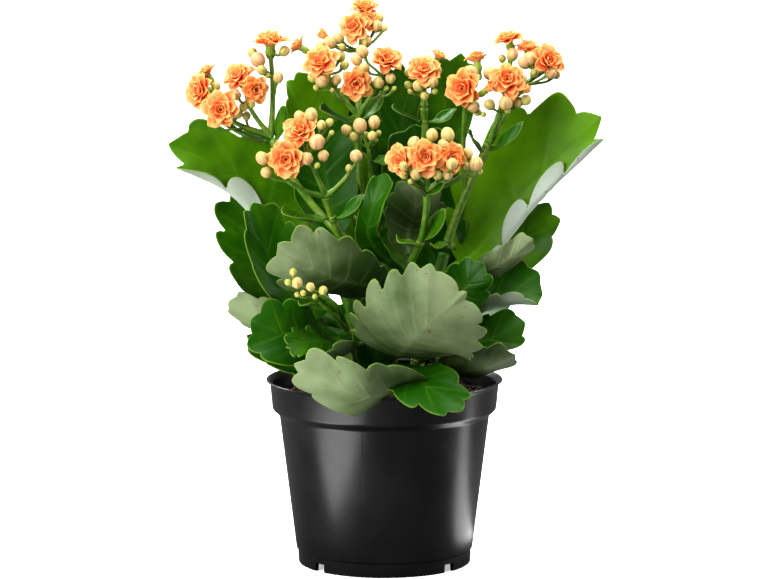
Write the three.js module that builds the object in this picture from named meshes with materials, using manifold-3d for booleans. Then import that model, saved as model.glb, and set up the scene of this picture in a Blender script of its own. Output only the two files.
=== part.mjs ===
// A potted kalanchoe: a nursery pot of compost, four main stems, fleshy scalloped leaves, and flower
// stems with heads of double flowers and buds. Millimetres, +Z up. The origin is on the pot's axis at
// the level that the pot stands on, and the plant's showier side faces -Y.
import * as THREE from 'three';
import { mergeVertices } from 'three/addons/utils/BufferGeometryUtils.js';
import Module from 'manifold-3d';

const wasm = await Module();
wasm.setup();

// driving dimensions
const potHeight = 94;
const lipRadius = 60;
const baseRadius = 43.7;
const bandHeight = 15;
const bandRadius = 56.8;
const wallRadius = 53.3;      // under the band
const wall = 1.3;
const footTop = 7;            // where the foot ring meets the wall
const soilDepth = 9;          // from the lip down to the soil
const leafThickness = 1.7;    // at the midrib
const stalkHalfWidth = 2.2;   // of a leaf's stalk
const branchRadius = 1.2;
const pedicelRadius = 0.7;
const smallestBud = 2.15;     // buds below this radius are left off
const gap = 0.3;              // between one piece and the next

const bandFoot = potHeight - bandHeight;
const wallTop = bandFoot - 3;

// what a leaf's row of points does along the blade
const stalkRows = 0.14;       // of the rows, the share on the stalk
const stalkShare = 0.16;      // of the leaf's length, the stalk's
const rollSpan = [0.38, 0.63]; // where a rolled margin bends, as shares of the half width
const ribShare = 0.86;        // of the blade's length that the midrib column reaches

const greens = { leaf: 0x4c8a1c, stem: 0x6d9a3e };

// main stems, each a smooth curve through four points
const mainStems = {
  main_stem_centre: { path: [[0, -6, 86], [4, -12, 108], [8, -18, 130], [13, -22, 151]], radius: 3.2 },
  main_stem_right: { path: [[14, 4, 86], [18, 4, 108], [24, 0, 134], [30, -4, 158]], radius: 3.4 },
  main_stem_left: { path: [[-12, -2, 86], [-15, -4, 108], [-18, -10, 134], [-20, -14, 160]], radius: 3.2 },
  main_stem_back: { path: [[0, 20, 86], [-3, 19, 112], [-6, 16, 140], [-10, 12, 165]], radius: 3.2 },
};

// Each leaf grows from a main stem (at: the share of the stem's length) through three more points.
// face: where the upper side looks at the stalk and at the tip. width: left and right of the midrib.
// cup: how much the two halves fold up, in radians. lobes: how many, and how deep they are cut.
// curl: a margin that rolls over, as [side, where along the leaf, how far, how much].
const leaves = {
  leaf_front_left: {
    stem: 'centre', at: 0.15, through: [[9, -49, 99], [-12, -66, 97], [-44, -68, 112]],
    face: [[0.2, 0.6, 0.9], [0.1, 1, 0.4]], width: [19, 17], cup: [0.3, 0.25], lobes: [6, 0.09],
  },
  leaf_front_right: {
    stem: 'centre', at: 0.3, through: [[6, -40, 105], [18, -58, 100], [38, -74, 90]],
    face: [[0.2, -0.5, 1], [0.1, -0.9, 1]], width: [17, 17], cup: [0.5, 0.1], lobes: [5, 0.12],
  },
  leaf_fan: {
    stem: 'centre', at: 0.42, through: [[7, -46, 113], [17, -64, 127], [40, -65, 147]],
    face: [[0.1, 0.3, 1], [0.05, 1, 0.1]], width: [36, 35], cup: [0.55, 0.7], lobes: [11, 0.13],
  },
  leaf_spoon: {
    stem: 'centre', at: 0.8, through: [[-11, -40, 148], [-29, -55, 155], [-52, -60, 170]],
    face: [[-0.1, 0.8, 0.8], [0.2, 1, 0.3]], width: [22, 27], cup: [0.7, 0.6], lobes: [6, 0.15],
  },
  leaf_upright: {
    stem: 'centre', at: 0.95, through: [[-7, -32, 168], [-6, -38, 185], [1, -36, 202]],
    face: [[-0.3, -1, 0.2], [-0.6, -1, 0.2]], width: [7, 9], cup: [1.2, 0.8], lobes: [4, 0.1],
  },
  leaf_small_pale: {
    stem: 'left', at: 0.2, through: [[-14, -30, 116], [-19, -44, 114], [-34, -56, 108]],
    face: [[0.1, 0.4, 1], [0.2, 0.9, 0.5]], width: [9, 9], cup: [0.5, 0.5], lobes: [5, 0.12],
  },
  leaf_serrated: {
    stem: 'left', at: 0.35, through: [[-26, -40, 118], [-36, -52, 120], [-48, -60, 119]],
    face: [[0.2, -0.8, 1], [0.1, -1, 0.9]], width: [11, 10], cup: [0.3, 0.2], lobes: [9, 0.14],
  },
  leaf_left_low: {
    stem: 'left', at: 0.45, through: [[-30, -30, 118], [-48, -42, 122], [-66, -44, 130]],
    face: [[0.1, -1, 0.7], [0.2, -1, 0.5]], width: [19, 19], cup: [0.5, 0.3], lobes: [5, 0.1],
  },
  leaf_left_under: {
    stem: 'left', at: 0.12, through: [[-32, -14, 102], [-50, -19, 106], [-69, -22, 119]],
    face: [[0.3, -0.6, 1], [0.5, -0.8, 1]], width: [12, 12], cup: [0.5, 0.4], lobes: [5, 0.12],
  },
  leaf_left_pale: {
    stem: 'left', at: 0.32, through: [[-38, -10, 120], [-58, -18, 126], [-78, -20, 136]],
    face: [[0.2, 0.8, 0.8], [0.3, 1, 0.4]], width: [12, 11], cup: [0.6, 0.5], lobes: [5, 0.08],
  },
  leaf_left_side: {
    stem: 'left', at: 0.5, through: [[-46, 2, 130], [-61, 0, 158], [-76, -2, 192]],
    face: [[0.3, -1, 0.3], [0.3, -1, 0.1]], width: [22, 14], cup: [0.4, 0.4], lobes: [6, 0.14],
  },
  leaf_left_inner: {
    stem: 'left', at: 0.62, through: [[-41, -17, 135], [-56, -24, 155], [-65, -22, 186]],
    face: [[0.6, -1, 0.3], [0.6, -1, 0.1]], width: [13, 20], cup: [0.5, 0.5], lobes: [6, 0.1],
  },
  leaf_left_high: {
    stem: 'left', at: 0.9, through: [[-47, 0, 171], [-73, -4, 197], [-108, -8, 214]],
    face: [[0.1, -1, 0.3], [0.1, -1, 0.6]], width: [22, 26], cup: [0.4, 0.2], lobes: [4, 0.2],
    curl: [-1, 0.5, 0.42, 2.9],
  },
  leaf_back_left: {
    stem: 'back', at: 0.6, through: [[-24, 26, 180], [-36, 32, 215], [-44, 32, 247]],
    face: [[0.2, -1, 0.1], [0.2, -1, 0.1]], width: [12, 24], cup: [0.3, 0.3], lobes: [6, 0.1],
  },
  leaf_back_centre: {
    stem: 'back', at: 0.75, through: [[-6, 34, 185], [-6, 40, 215], [-9, 42, 241]],
    face: [[0, -1, 0.2], [0, -1, 0.2]], width: [22, 22], cup: [0.3, 0.3], lobes: [6, 0.1],
  },
  leaf_back_mid: {
    stem: 'back', at: 0.85, through: [[6, 22, 185], [9, 27, 220], [8, 28, 252]],
    face: [[0, -1, 0.2], [0, -1, 0.2]], width: [13, 13], cup: [0.3, 0.3], lobes: [6, 0.1],
  },
  leaf_back_right: {
    stem: 'right', at: 0.75, through: [[24, 18, 180], [31, 24, 218], [39, 26, 257]],
    face: [[0, -1, 0.2], [0, -1, 0.2]], width: [16, 13], cup: [0.3, 0.3], lobes: [5, 0.12],
  },
  leaf_right_big: {
    stem: 'right', at: 0.8, through: [[50, 5, 163], [74, 4, 192], [109, 0, 227]],
    face: [[-0.1, -1, 0.3], [-0.1, -1, 0.3]], width: [38, 19], cup: [0.4, 0.3], lobes: [5, 0.2],
    curl: [1, 0.6, 0.5, 3],
  },
  leaf_right_mid: {
    stem: 'right', at: 0.78, through: [[46, -20, 150], [60, -25, 157], [74, -24, 168]],
    face: [[0, 1, 0.3], [0, 1, 0.3]], width: [6, 8], cup: [0.5, 0.5], lobes: [5, 0.08],
  },
  leaf_right_outer: {
    stem: 'right', at: 0.55, through: [[52, 16, 142], [68, 20, 160], [84, 22, 181]],
    face: [[-0.2, -1, 0.4], [-0.2, -1, 0.4]], width: [14, 17], cup: [0.3, 0.3], lobes: [5, 0.14],
  },
  leaf_right_cupped: {
    stem: 'right', at: 0.5, through: [[44, -14, 134], [61, -20, 140], [79, -22, 140]],
    face: [[0, -0.9, 0.7], [0, -0.9, 0.7]], width: [18, 15], cup: [0.6, 0.6], lobes: [5, 0.08],
    curl: [1, 0.7, 0.3, 2],
  },
  leaf_right_round: {
    stem: 'centre', at: 0.72, through: [[30, -28, 138], [40, -33, 145], [49, -34, 157]],
    face: [[-0.1, -1, 0.4], [-0.1, -1, 0.4]], width: [13, 13], cup: [0.3, 0.3], lobes: [5, 0.13],
  },
  leaf_right_low: {
    stem: 'right', at: 0.25, through: [[36, -20, 112], [52, -29, 118], [70, -30, 127]],
    face: [[0, -1, 0.7], [0, -1, 0.7]], width: [13, 12], cup: [0.4, 0.2], lobes: [4, 0.12],
  },
  leaf_right_bottom: {
    stem: 'right', at: 0.12, through: [[30, -22, 101], [46, -34, 104], [65, -38, 112]],
    face: [[0, 0.6, 1], [0, 0.8, 1]], width: [15, 15], cup: [0.6, 0.4], lobes: [5, 0.1],
  },
  leaf_centre_dark: {
    stem: 'centre', at: 0.98, through: [[12, -12, 168], [15, -14, 180], [17, -16, 197]],
    face: [[0, 1, 0.2], [0, 1, 0.2]], width: [16, 15], cup: [0.4, 0.4], lobes: [5, 0.1],
  },
  leaf_inner_left: {
    stem: 'left', at: 0.97, through: [[-27, 2, 178], [-31, 8, 202], [-32, 10, 226]],
    face: [[0, -1, 0.2], [0, -1, 0.2]], width: [18, 18], cup: [0.4, 0.4], lobes: [6, 0.1],
  },
  leaf_inner_right: {
    stem: 'right', at: 0.55, through: [[23, 8, 158], [20, 12, 185], [15, 12, 222]],
    face: [[0, -1, 0.2], [0, -1, 0.2]], width: [22, 22], cup: [0.4, 0.4], lobes: [6, 0.1],
  },
  leaf_inner_low: {
    stem: 'centre', at: 0.2, through: [[-3, -27, 105], [-5, -33, 122], [-4, -34, 141]],
    face: [[0, -1, 0.3], [0, -1, 0.3]], width: [11, 22], cup: [0.3, 0.3], lobes: [6, 0.1],
  },
  leaf_rear_left: {
    stem: 'back', at: 0.35, through: [[-34, 34, 118], [-54, 42, 132], [-66, 46, 158]],
    face: [[0, -0.5, 1], [0.9, -0.4, 0.3]], width: [24, 24], cup: [0.4, 0.3], lobes: [6, 0.12],
  },
  leaf_rear_mid: {
    stem: 'back', at: 0.15, through: [[4, 36, 110], [8, 52, 132], [12, 66, 162]],
    face: [[0, -0.6, 1], [0, -1, 0.5]], width: [33, 33], cup: [0.4, 0.3], lobes: [6, 0.1],
  },
  leaf_rear_right: {
    stem: 'right', at: 0.35, through: [[36, 34, 116], [56, 44, 130], [68, 48, 156]],
    face: [[0, -0.5, 1], [-0.9, -0.4, 0.3]], width: [24, 22], cup: [0.4, 0.3], lobes: [6, 0.12],
  },
  leaf_rear_low: {
    stem: 'back', at: 0.1, through: [[-4, 44, 104], [0, 62, 98], [2, 75, 87]],
    face: [[0, -0.5, 1], [0, -0.3, 1]], width: [35, 35], cup: [0.05, 0.1], lobes: [6, 0.1],
  },
  leaf_rear_tall: {
    stem: 'back', at: 0.5, through: [[2, 48, 155], [4, 60, 185], [1, 66, 213]],
    face: [[0, -1, 0.6], [0, -1, 0.2]], width: [23, 23], cup: [0.4, 0.3], lobes: [6, 0.12],
  },
};

// Flower stems. bracts: small leaves, as [share along the stem, tip, width]. fork: a side shoot.
const flowerStems = {
  flower_stem_left: {
    path: [[-20, -8, 166], [-34, -2, 180], [-46, -2, 196], [-56, -4, 216]], radius: 1.9,
    bracts: [[0.98, [-81, -8, 226], 4], [0.96, [-50, -6, 233], 3]],
  },
  flower_stem_top: {
    path: [[-10, 10, 170], [-12, 4, 190], [-13, 0, 210], [-13, 0, 225]], radius: 1.9,
    bracts: [[0.97, [-32, -4, 233], 5], [0.99, [0, -6, 239], 5]],
  },
  flower_stem_front: {
    path: [[-20, -19, 166], [-24, -24, 174], [-27, -28, 182], [-29, -30, 189]], radius: 1.9,
    bracts: [[0.55, [-51, -34, 184], 5], [0.5, [-10, -34, 191], 5.5]],
  },
  flower_stem_centre: {
    path: [[13, -25, 156], [18, -31, 168], [20.5, -36, 182], [21, -38, 192.5]], radius: 1.8,
    bracts: [
      [0.3, [30, -34, 184], 5], [0.3, [6, -38, 170], 5],
      [0.96, [12, -44, 199], 2.5], [0.96, [30, -44, 199], 2.5],
    ],
  },
  flower_stem_middle: {
    path: [[12, 2, 160], [17, 4, 190], [20, 2, 215], [20, 0, 231]], radius: 1.7,
    bracts: [[0.85, [4, -6, 233], 4], [0.85, [36, -4, 231], 4]],
  },
  flower_stem_right: {
    path: [[31, -7, 162], [37, -10, 180], [45, -12, 199], [52, -14, 214]], radius: 2.1,
    bracts: [[0.9, [42, -20, 222], 1.8], [0.93, [69, -20, 226], 4.5], [0.06, [24, -20, 164], 4]],
    fork: { path: [[41, -11, 190], [39.5, -13, 206], [39.5, -17, 222], [40, -21, 234.5]], radius: 1.3 },
  },
  flower_stem_rear_left: {
    path: [[-10, 20, 166], [-21, 32, 180], [-32, 38, 195], [-38, 40, 204]], radius: 1.8,
    bracts: [[0.7, [-46, 42, 190], 5], [0.7, [-20, 50, 200], 5]],
  },
  flower_stem_rear: {
    path: [[-4, 20, 168], [0, 38, 184], [3, 44, 200], [3, 46, 211]], radius: 1.8,
    bracts: [[0.75, [-16, 50, 208], 5], [0.75, [20, 50, 206], 5]],
  },
  flower_stem_rear_right: {
    path: [[34, 4, 160], [48, 24, 170], [62, 34, 180], [69, 38, 190]], radius: 1.8,
    bracts: [[0.7, [52, 42, 188], 5], [0.7, [76, 44, 178], 5]],
  },
};

// Flower heads. flowers: [x, y, z, radius, facing x, y, z]. buds: [x, y, z, radius].
const flowerHeads = {
  flower_head_left: {
    hub: [-57, -4, 218],
    branches: [
      [[-62, -7, 224], [-67, -9, 232], [-69, -11, 239]],
      [[-66, -7, 221], [-75, -10, 225], [-83, -13, 232]],
      [[-56, -4, 232], [-56, -4, 246], [-57, -4, 259]],
    ],
    flowers: [
      [-92, -12, 241, 9, -0.7, -0.7, 0.2], [-81, -20, 232, 9.5, -0.1, -1, 0.1],
      [-89, -4, 249, 6.5, -0.5, -0.1, 0.9], [-73, -10, 248, 8.5, -0.4, -0.6, 0.7],
      [-64, -16, 242, 7.5, 0.3, -0.9, -0.1], [-57, -4, 265, 9, 0, -0.25, 1],
    ],
    buds: [
      [-84, -12, 243, 2.7], [-74, -14, 239, 3], [-70, -10, 233, 2.8], [-66, -12, 234, 2],
      [-73, -10, 229, 2.6], [-69, -8, 228, 2.5], [-76, -8, 233, 2.4], [-66, -2, 259, 2.8],
      [-63, -8, 256, 4.2], [-61, -10, 251, 2.8], [-53, -8, 247, 3], [-58, -8, 248, 1.6],
      [-50, -4, 260, 3], [-87, -12, 224, 1.6],
    ],
  },
  flower_head_top: {
    hub: [-13, 0, 227],
    branches: [
      [[-18, -2, 233], [-24, -5, 240], [-29, -6, 248]],
      [[-13, 2, 243], [-12, 4, 258], [-11, 6, 272]],
      [[-9, -4, 234], [-4, -7, 241], [-1, -8, 248]],
    ],
    flowers: [
      [1, -10, 256, 8.5, 0.2, -0.7, 0.7], [-14, -18, 245, 8.5, 0.1, -1, -0.1],
      [-32, -10, 255, 9, -0.3, -0.8, 0.5], [-43, 4, 262, 6, -0.8, 0, 0.5],
      [-10, 8, 281, 7.5, 0.1, -0.4, 0.9], [-15, 0, 272, 8, -0.3, -0.9, 0.3],
      [-8, 2, 274, 6, 0.4, -0.7, 0.4],
    ],
    buds: [
      [-30, 6, 267, 5], [-31, -12, 246, 4], [-24, -8, 246, 3], [-28, -12, 249, 1.8],
      [-36, -8, 247, 2.6], [-34, -8, 242, 1.8], [-22, -2, 257, 3], [-20, -6, 253, 2.5],
      [-32, 2, 262, 3], [-27, 0, 264, 3.4], [-23, 2, 266, 3.2], [-21, -2, 262, 2],
      [-20, 2, 273, 3], [-3, 6, 276, 3], [-4, 2, 272, 3.4], [0, 2, 271, 1.8],
      [-9, 0, 265, 3.2], [-11, -6, 260, 3.6], [-26, -10, 241, 1.3], [-14, -8, 256, 3.2],
      [-10, -10, 252, 3], [-3, -14, 245, 3.3], [3, -12, 247, 3], [1, -12, 242, 1.6],
      [5, -12, 242, 1.4], [-8, -12, 247, 2],
    ],
  },
  flower_head_bud: {
    hub: [-3, -12, 160],
    branches: [[[-5, -14, 180], [-6.5, -18, 198], [-8, -20, 213]]],
    buds: [
      [-18.7, -22, 222, 3], [-12, -24, 224.5, 3.9], [-5, -22, 226, 3.4], [-15, -24, 219, 2.5],
      [-6, -26, 219.5, 2.7], [-3, -22, 220.5, 1.7], [-4, -22, 217, 1.1], [-9, -18, 219, 2],
    ],
    bracts: [[0.85, [4, -16, 208], 3]],
  },
  flower_head_front: {
    hub: [-29, -30, 190],
    branches: [
      [[-32, -32, 197], [-35, -34, 204], [-38, -36, 211]],
      [[-37, -33, 192], [-46, -36, 197], [-54, -39, 204]],
      [[-25, -30, 193], [-20, -31, 198], [-15, -32, 205]],
    ],
    flowers: [[-41, -36, 223, 9.5, -0.3, -0.8, 0.5], [-48, -44, 210, 10, -0.1, -1, -0.05]],
    buds: [
      [-36, -36, 231, 3.6], [-31, -38, 226, 2.6], [-27, -36, 227, 2.3], [-26, -36, 222, 1.6],
      [-33, -42, 218, 4.3], [-38, -44, 210, 3.6], [-30, -40, 211, 3.1], [-33, -42, 206.5, 1.8],
      [-60, -42, 210, 3.6], [-58, -42, 203, 3.1], [-42, -34, 230, 3], [-14, -32, 210, 3.6],
      [-17.5, -32, 204, 2.1],
    ],
  },
  flower_head_centre: {
    hub: [21, -38, 194],
    branches: [
      [[17, -40, 198], [13, -42, 202], [9, -42, 206]],
      [[21, -40, 198], [21, -42, 202], [21, -44, 206]],
      [[25, -40, 197], [29, -42, 201], [33, -42, 206]],
      [[29, -38, 196], [37, -38, 200], [44, -39, 205]],
    ],
    flowers: [
      [8, -44, 209, 8.3, -0.5, -0.9, 0.1], [20.5, -48, 211, 9, 0, -1, 0.1],
      [33, -44, 210, 7.5, 0.5, -0.9, 0.1],
    ],
    buds: [
      [14.5, -40, 217, 3.7], [23.5, -38, 221, 3.4], [31, -38, 221, 3.9], [9.5, -52, 207, 2.7],
      [15.5, -48, 203, 3.3], [9.5, -44, 202, 2.4], [13, -46, 199, 1.7], [26, -46, 202, 2.7],
      [31, -44, 202, 2.9], [29, -40, 216, 3.3], [33, -50, 208, 3.2], [36, -40, 214, 3],
      [41, -38, 212, 3], [45, -40, 207, 3.9], [40, -40, 206, 2.1], [47, -38, 203, 1.6],
    ],
  },
  flower_head_middle: {
    hub: [20, 0, 233],
    branches: [[[20, -1, 237], [20, -2, 241], [20, -4, 246]]],
    flowers: [[20, -6, 251, 8.5, 0, -0.8, 0.6], [27, 4, 257, 5, 0.5, 0, 0.8]],
    buds: [
      [17, -8, 243, 3.4], [24, -8, 245, 3.4], [20, -8, 238, 2.5], [12, -4, 243, 2.3],
      [13, -6, 240, 1.6], [26, 0, 250, 3.2], [25, -6, 240, 1.8], [12, -2, 249, 2.2],
    ],
  },
  flower_head_right: {
    hub: [53, -14, 216],
    branches: [
      [[55, -16, 223], [58, -18, 230], [60, -21, 239]],
      [[61, -10, 229], [69, -4, 242], [80, -3, 250]],
      [[57, -9, 229], [62, -3, 244], [63, 3, 259]],
    ],
    flowers: [
      [61, -24, 247, 9, 0, -0.9, 0.4], [62, 4, 266, 7.5, -0.3, -0.2, 1],
      [72, 4, 261, 6.5, 0, -0.3, 0.9], [82, -4, 255, 9, 0.4, -0.8, 0.4],
    ],
    buds: [
      [52, -18, 250, 3.5], [69, -24, 242, 4.6], [70, -22, 237, 3.2], [52, -26, 235, 3.2],
      [61, -24, 232, 1.8], [66, -22, 236, 3], [68, -20, 247, 3], [60, -26, 236, 4],
      [64, 0, 258, 3.4], [59, 2, 256, 2.2], [70, -2, 254, 3.4], [75, -4, 249, 2.6],
      [83, -6, 249, 3.2], [86, -2, 248, 2.4], [73, -2, 256, 4],
    ],
  },
  flower_head_right_inner: {
    hub: [40, -22, 236],
    branches: [[[42, -22, 240], [44, -20, 244], [45, -17, 249]]],
    flowers: [[39, -26, 243, 9.8, -0.4, -0.9, 0.1], [46, -6, 256, 6.5, -0.2, 0.2, 0.9]],
    buds: [
      [43, -20, 250, 4], [51, -28, 243, 5.3], [44, -24, 234, 3.6], [46, -22, 231, 2.3],
      [49, -24, 230, 1.6],
    ],
  },
  flower_head_young: {
    hub: [-19, -18, 122],
    branches: [
      [[-22, -36, 128], [-26, -46, 134], [-34, -57, 143]],
      [[-24, -48, 138], [-34, -58, 146], [-43, -60, 149]],
    ],
    buds: [
      [-44.5, -60, 156, 2.1], [-42.5, -62, 151, 3], [-47, -60, 151, 1.9], [-36, -62, 149, 2.5],
      [-30, -60, 147, 2.5], [-42.5, -60, 145, 1.6], [-39.5, -62, 146, 1.7], [-34, -60, 144, 1.6],
    ],
    bracts: [[0.95, [-42, -60, 141], 3]],
  },
  flower_head_rear_left: {
    hub: [-38, 40, 206],
    flowers: [[-44, 46, 220, 9, -0.5, 0.6, 0.6], [-30, 50, 220, 8.5, 0.2, 0.8, 0.6]],
    buds: [
      [-36, 44, 226, 3.4], [-40, 52, 212, 3], [-48, 48, 210, 2.6], [-28, 48, 210, 2.4],
      [-34, 52, 212, 3.6],
    ],
  },
  flower_head_rear: {
    hub: [3, 46, 213],
    flowers: [
      [-5, 54, 226, 9, -0.3, 0.8, 0.6], [11, 54, 228, 9, 0.3, 0.8, 0.6],
      [3, 58, 216, 7.5, 0, 1, 0],
    ],
    buds: [
      [3, 50, 234, 3.6], [-12, 54, 218, 3], [16, 54, 218, 3.2], [-4, 56, 210, 2.6],
      [10, 58, 210, 2.4],
    ],
  },
  flower_head_rear_right: {
    hub: [69, 38, 192],
    flowers: [[64, 46, 204, 9, -0.3, 0.8, 0.6], [78, 46, 201, 8.5, 0.4, 0.8, 0.5]],
    buds: [
      [71, 44, 209, 3.4], [59, 48, 196, 3], [70, 52, 195, 2.8], [79, 48, 193, 2.6],
    ],
  },
};

const vec = (p) => new THREE.Vector3(...p);
const clamp = THREE.MathUtils.clamp;

// the turn that takes the Y axis to a direction
function turnTo(direction) {
  const yAxis = new THREE.Vector3(0, 1, 0);
  return new THREE.Quaternion().setFromUnitVectors(yAxis, direction.clone().normalize());
}

function smoothCurve(points) {
  return new THREE.CatmullRomCurve3(points.map(vec), false, 'catmullrom', 0.5);
}

// a closed mesh as a manifold solid, and back
function solidOf(geometry) {
  const shape = geometry.clone();
  shape.deleteAttribute('normal');
  shape.deleteAttribute('uv');
  const merged = mergeVertices(shape, 1e-4);
  const corners = merged.index.array;
  const kept = [];
  for (let i = 0; i < corners.length; i += 3) {
    const [a, b, c] = corners.slice(i, i + 3);
    if (a !== b && b !== c && c !== a) kept.push(a, b, c);
  }
  return new wasm.Manifold(new wasm.Mesh({
    numProp: 3,
    vertProperties: new Float32Array(merged.attributes.position.array),
    triVerts: new Uint32Array(kept),
  }));
}

function geometryOf(solid) {
  const mesh = solid.getMesh();
  const geometry = new THREE.BufferGeometry();
  geometry.setAttribute('position', new THREE.BufferAttribute(new Float32Array(mesh.vertProperties), 3));
  geometry.setIndex(new THREE.BufferAttribute(new Uint32Array(mesh.triVerts), 1));
  return geometry;
}

function largestBody(solid) {
  return solid.decompose().sort((a, b) => b.volume() - a.volume())[0];
}

function union(solids) {
  return solids.reduce((sum, next) => sum.add(next));
}

// a round stem of constant radius along a curve
function tube(points, radius, sides, steps) {
  const outline = new THREE.Shape();
  outline.absarc(0, 0, radius, 0, 2 * Math.PI);
  return solidOf(new THREE.ExtrudeGeometry(outline, {
    steps,
    curveSegments: sides / 2,
    extrudePath: smoothCurve(points),
    bevelEnabled: false,
  }));
}

// One point of a leaf. q runs from the stalk's foot to the tip, r from the midrib to the margin,
// and lift is the height over the leaf's middle surface.
function leafPoint(leaf, curve, side, q, r, lift) {
  const [lobes, depth] = leaf.lobes;
  const s = clamp((q - stalkRows) / (1 - stalkRows), 0, 1);
  const blade = 1 - stalkShare;
  const onStalk = q < stalkRows;
  const tEdge = onStalk ? stalkShare * q / stalkRows
    : stalkShare + blade * ((1 - Math.cos(Math.PI * s)) / 2) ** 0.85;
  const tRib = onStalk ? tEdge : stalkShare + blade * ribShare * s ** 1.15;
  const full = Math.max(Math.sin(Math.PI * s), 0) ** (s < 0.5 ? 1.15 : 0.75);
  const lobe = Math.abs(Math.sin(Math.PI * (lobes * s - 0.5))) ** 0.7;
  const cut = 1 - 1.6 * depth * (1 - lobe) * clamp((s - 0.18) / 0.2, 0, 1);
  const width = leaf.width[side < 0 ? 0 : 1];
  const taper = s > 0.5 ? Math.min(1, (1 - s) * 8) : 1;
  const half = (stalkHalfWidth * (1 - full) + width * full) * taper;
  const t = tRib + (tEdge - tRib) * cut * r;
  const out = half * cut * r;

  const along = curve.getTangent(clamp(t, 0, 1));
  const up = vec(leaf.face[0]).lerp(vec(leaf.face[1]), t);
  const across = new THREE.Vector3().crossVectors(along, up).normalize();
  const normal = new THREE.Vector3().crossVectors(across, along).normalize();
  const fold = leaf.cup[0] + (leaf.cup[1] - leaf.cup[0]) * t;
  let roll = 0;
  if (leaf.curl && leaf.curl[0] === side) {
    roll = leaf.curl[3] * Math.exp(-(((t - leaf.curl[1]) / leaf.curl[2]) ** 2));
  }
  const leanAt = (u) => fold * u + roll * THREE.MathUtils.smoothstep(u, ...rollSpan);
  const steps = 16;
  let x = 0;
  let z = 0;
  for (let k = 0; k < steps; k += 1) {
    const angle = leanAt((out / width) * (k + 0.5) / steps);
    x += Math.cos(angle) * out / steps;
    z += Math.sin(angle) * out / steps;
  }
  const lean = leanAt(out / width);
  const wave = 1.2 * r * r * Math.sin(Math.PI * lobes * s + 1.3 * side);
  z += wave * clamp(s * 4, 0, 1) * clamp((1 - s) * 6, 0, 1);
  const point = curve.getPoint(clamp(t, 0, 1));
  point.addScaledVector(across, side * (x - lift * Math.sin(lean)));
  return point.addScaledVector(normal, z + lift * Math.cos(lean));
}

// a leaf's solid: a lens in section, with a row of points at each lobe and at each notch
function leafSolid(leaf, points, grow = 0) {
  const curve = smoothCurve(points);
  const flat = Math.max(...leaf.cup) < 0.45;
  const columns = leaf.curl ? [0, 0.4, 0.52, 0.66, 1] : flat ? [0, 1] : [0, 0.6, 1];
  const rows = [0, stalkRows];
  const count = 2 * leaf.lobes[0];
  for (let k = 1; k <= count; k += 1) rows.push(stalkRows + (1 - stalkRows) * k / count);
  const thickness = (r, q) => grow + leafThickness / 2 * (1 - r * r) * (q < 0.2 ? 1.3 : 1);
  const corners = [];
  const push = (a, b, c) => corners.push(a.x, a.y, a.z, b.x, b.y, b.z, c.x, c.y, c.z);
  const quad = (a, b, c, d) => {
    push(a, b, c);
    push(a, c, d);
  };
  for (const side of [-1, 1]) {
    const sheet = (sign) => rows.map((q) => columns.map((r) => (
      leafPoint(leaf, curve, side, q, r * (1 + grow / 12), sign * thickness(r, q)))));
    const top = sheet(1);
    const bottom = sheet(-1);
    const last = columns.length - 1;
    const wind = side > 0 ? quad : (a, b, c, d) => quad(d, c, b, a);
    for (let i = 0; i + 1 < rows.length; i += 1) {
      for (let j = 0; j < last; j += 1) {
        wind(top[i][j], top[i][j + 1], top[i + 1][j + 1], top[i + 1][j]);
        wind(bottom[i][j], bottom[i + 1][j], bottom[i + 1][j + 1], bottom[i][j + 1]);
      }
      wind(top[i][last], bottom[i][last], bottom[i + 1][last], top[i + 1][last]);
    }
    for (let j = 0; j < last; j += 1) {
      wind(top[0][j + 1], top[0][j], bottom[0][j], bottom[0][j + 1]);
    }
  }
  const geometry = new THREE.BufferGeometry();
  geometry.setAttribute('position', new THREE.Float32BufferAttribute(corners, 3));
  return solidOf(geometry);
}

// a bract: a small plain leaf that arches from the stem to its tip
const bractShape = { face: [[0, -0.4, 1], [0, -0.4, 1]], cup: [0.4, 0.4], lobes: [2, 0] };

function bractSolid(foot, tip, width, grow) {
  const rise = foot.distanceTo(vec(tip)) * 0.12;
  const points = [0, 0.33, 0.67, 1].map((t) => {
    const point = foot.clone().lerp(vec(tip), t);
    point.z -= rise * Math.sin(Math.PI * t);
    return point.toArray();
  });
  return leafSolid({ ...bractShape, width: [width, width] }, points, grow);
}

function stemSolid(stem, grow = 0) {
  const pieces = [tube(stem.path, stem.radius + grow, stem.radius > 3 ? 8 : 6, 6)];
  if (stem.fork) pieces.push(tube(stem.fork.path, stem.fork.radius + grow, 6, 5));
  const curve = smoothCurve(stem.path);
  for (const [at, tip, width] of stem.bracts ?? []) {
    pieces.push(bractSolid(curve.getPoint(at), tip, width, grow));
  }
  return union(pieces);
}

// a double flower as a shallow closed cup of petals
function flowerSolid([x, y, z, radius, ...facing], grow) {
  const r = radius + grow;
  const profile = [[0, -0.45 * r], [r, 0.1 * r], [0.6 * r, 0.4 * r], [0, 0.3 * r]];
  const shape = new THREE.LatheGeometry(profile.map(([a, b]) => new THREE.Vector2(a, b)), 6);
  shape.applyQuaternion(turnTo(vec(facing))).translate(x, y, z);
  return solidOf(shape);
}

function budSolid([x, y, z, radius], grow) {
  return solidOf(new THREE.OctahedronGeometry(radius + grow).translate(x, y, z));
}

// Where a flower's or bud's own stalk leaves the branches: the nearest place that is not above it.
function stalkFoot(head, tip) {
  const places = [vec(head.hub)];
  for (const branch of head.branches ?? []) {
    const curve = smoothCurve([head.hub, ...branch]);
    for (const t of [0.4, 0.7, 1]) places.push(curve.getPoint(t));
  }
  const cost = (place) => place.distanceTo(tip) + 3 * Math.max(0, place.z + 3 - tip.z);
  return places.sort((a, b) => cost(a) - cost(b))[0];
}

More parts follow.
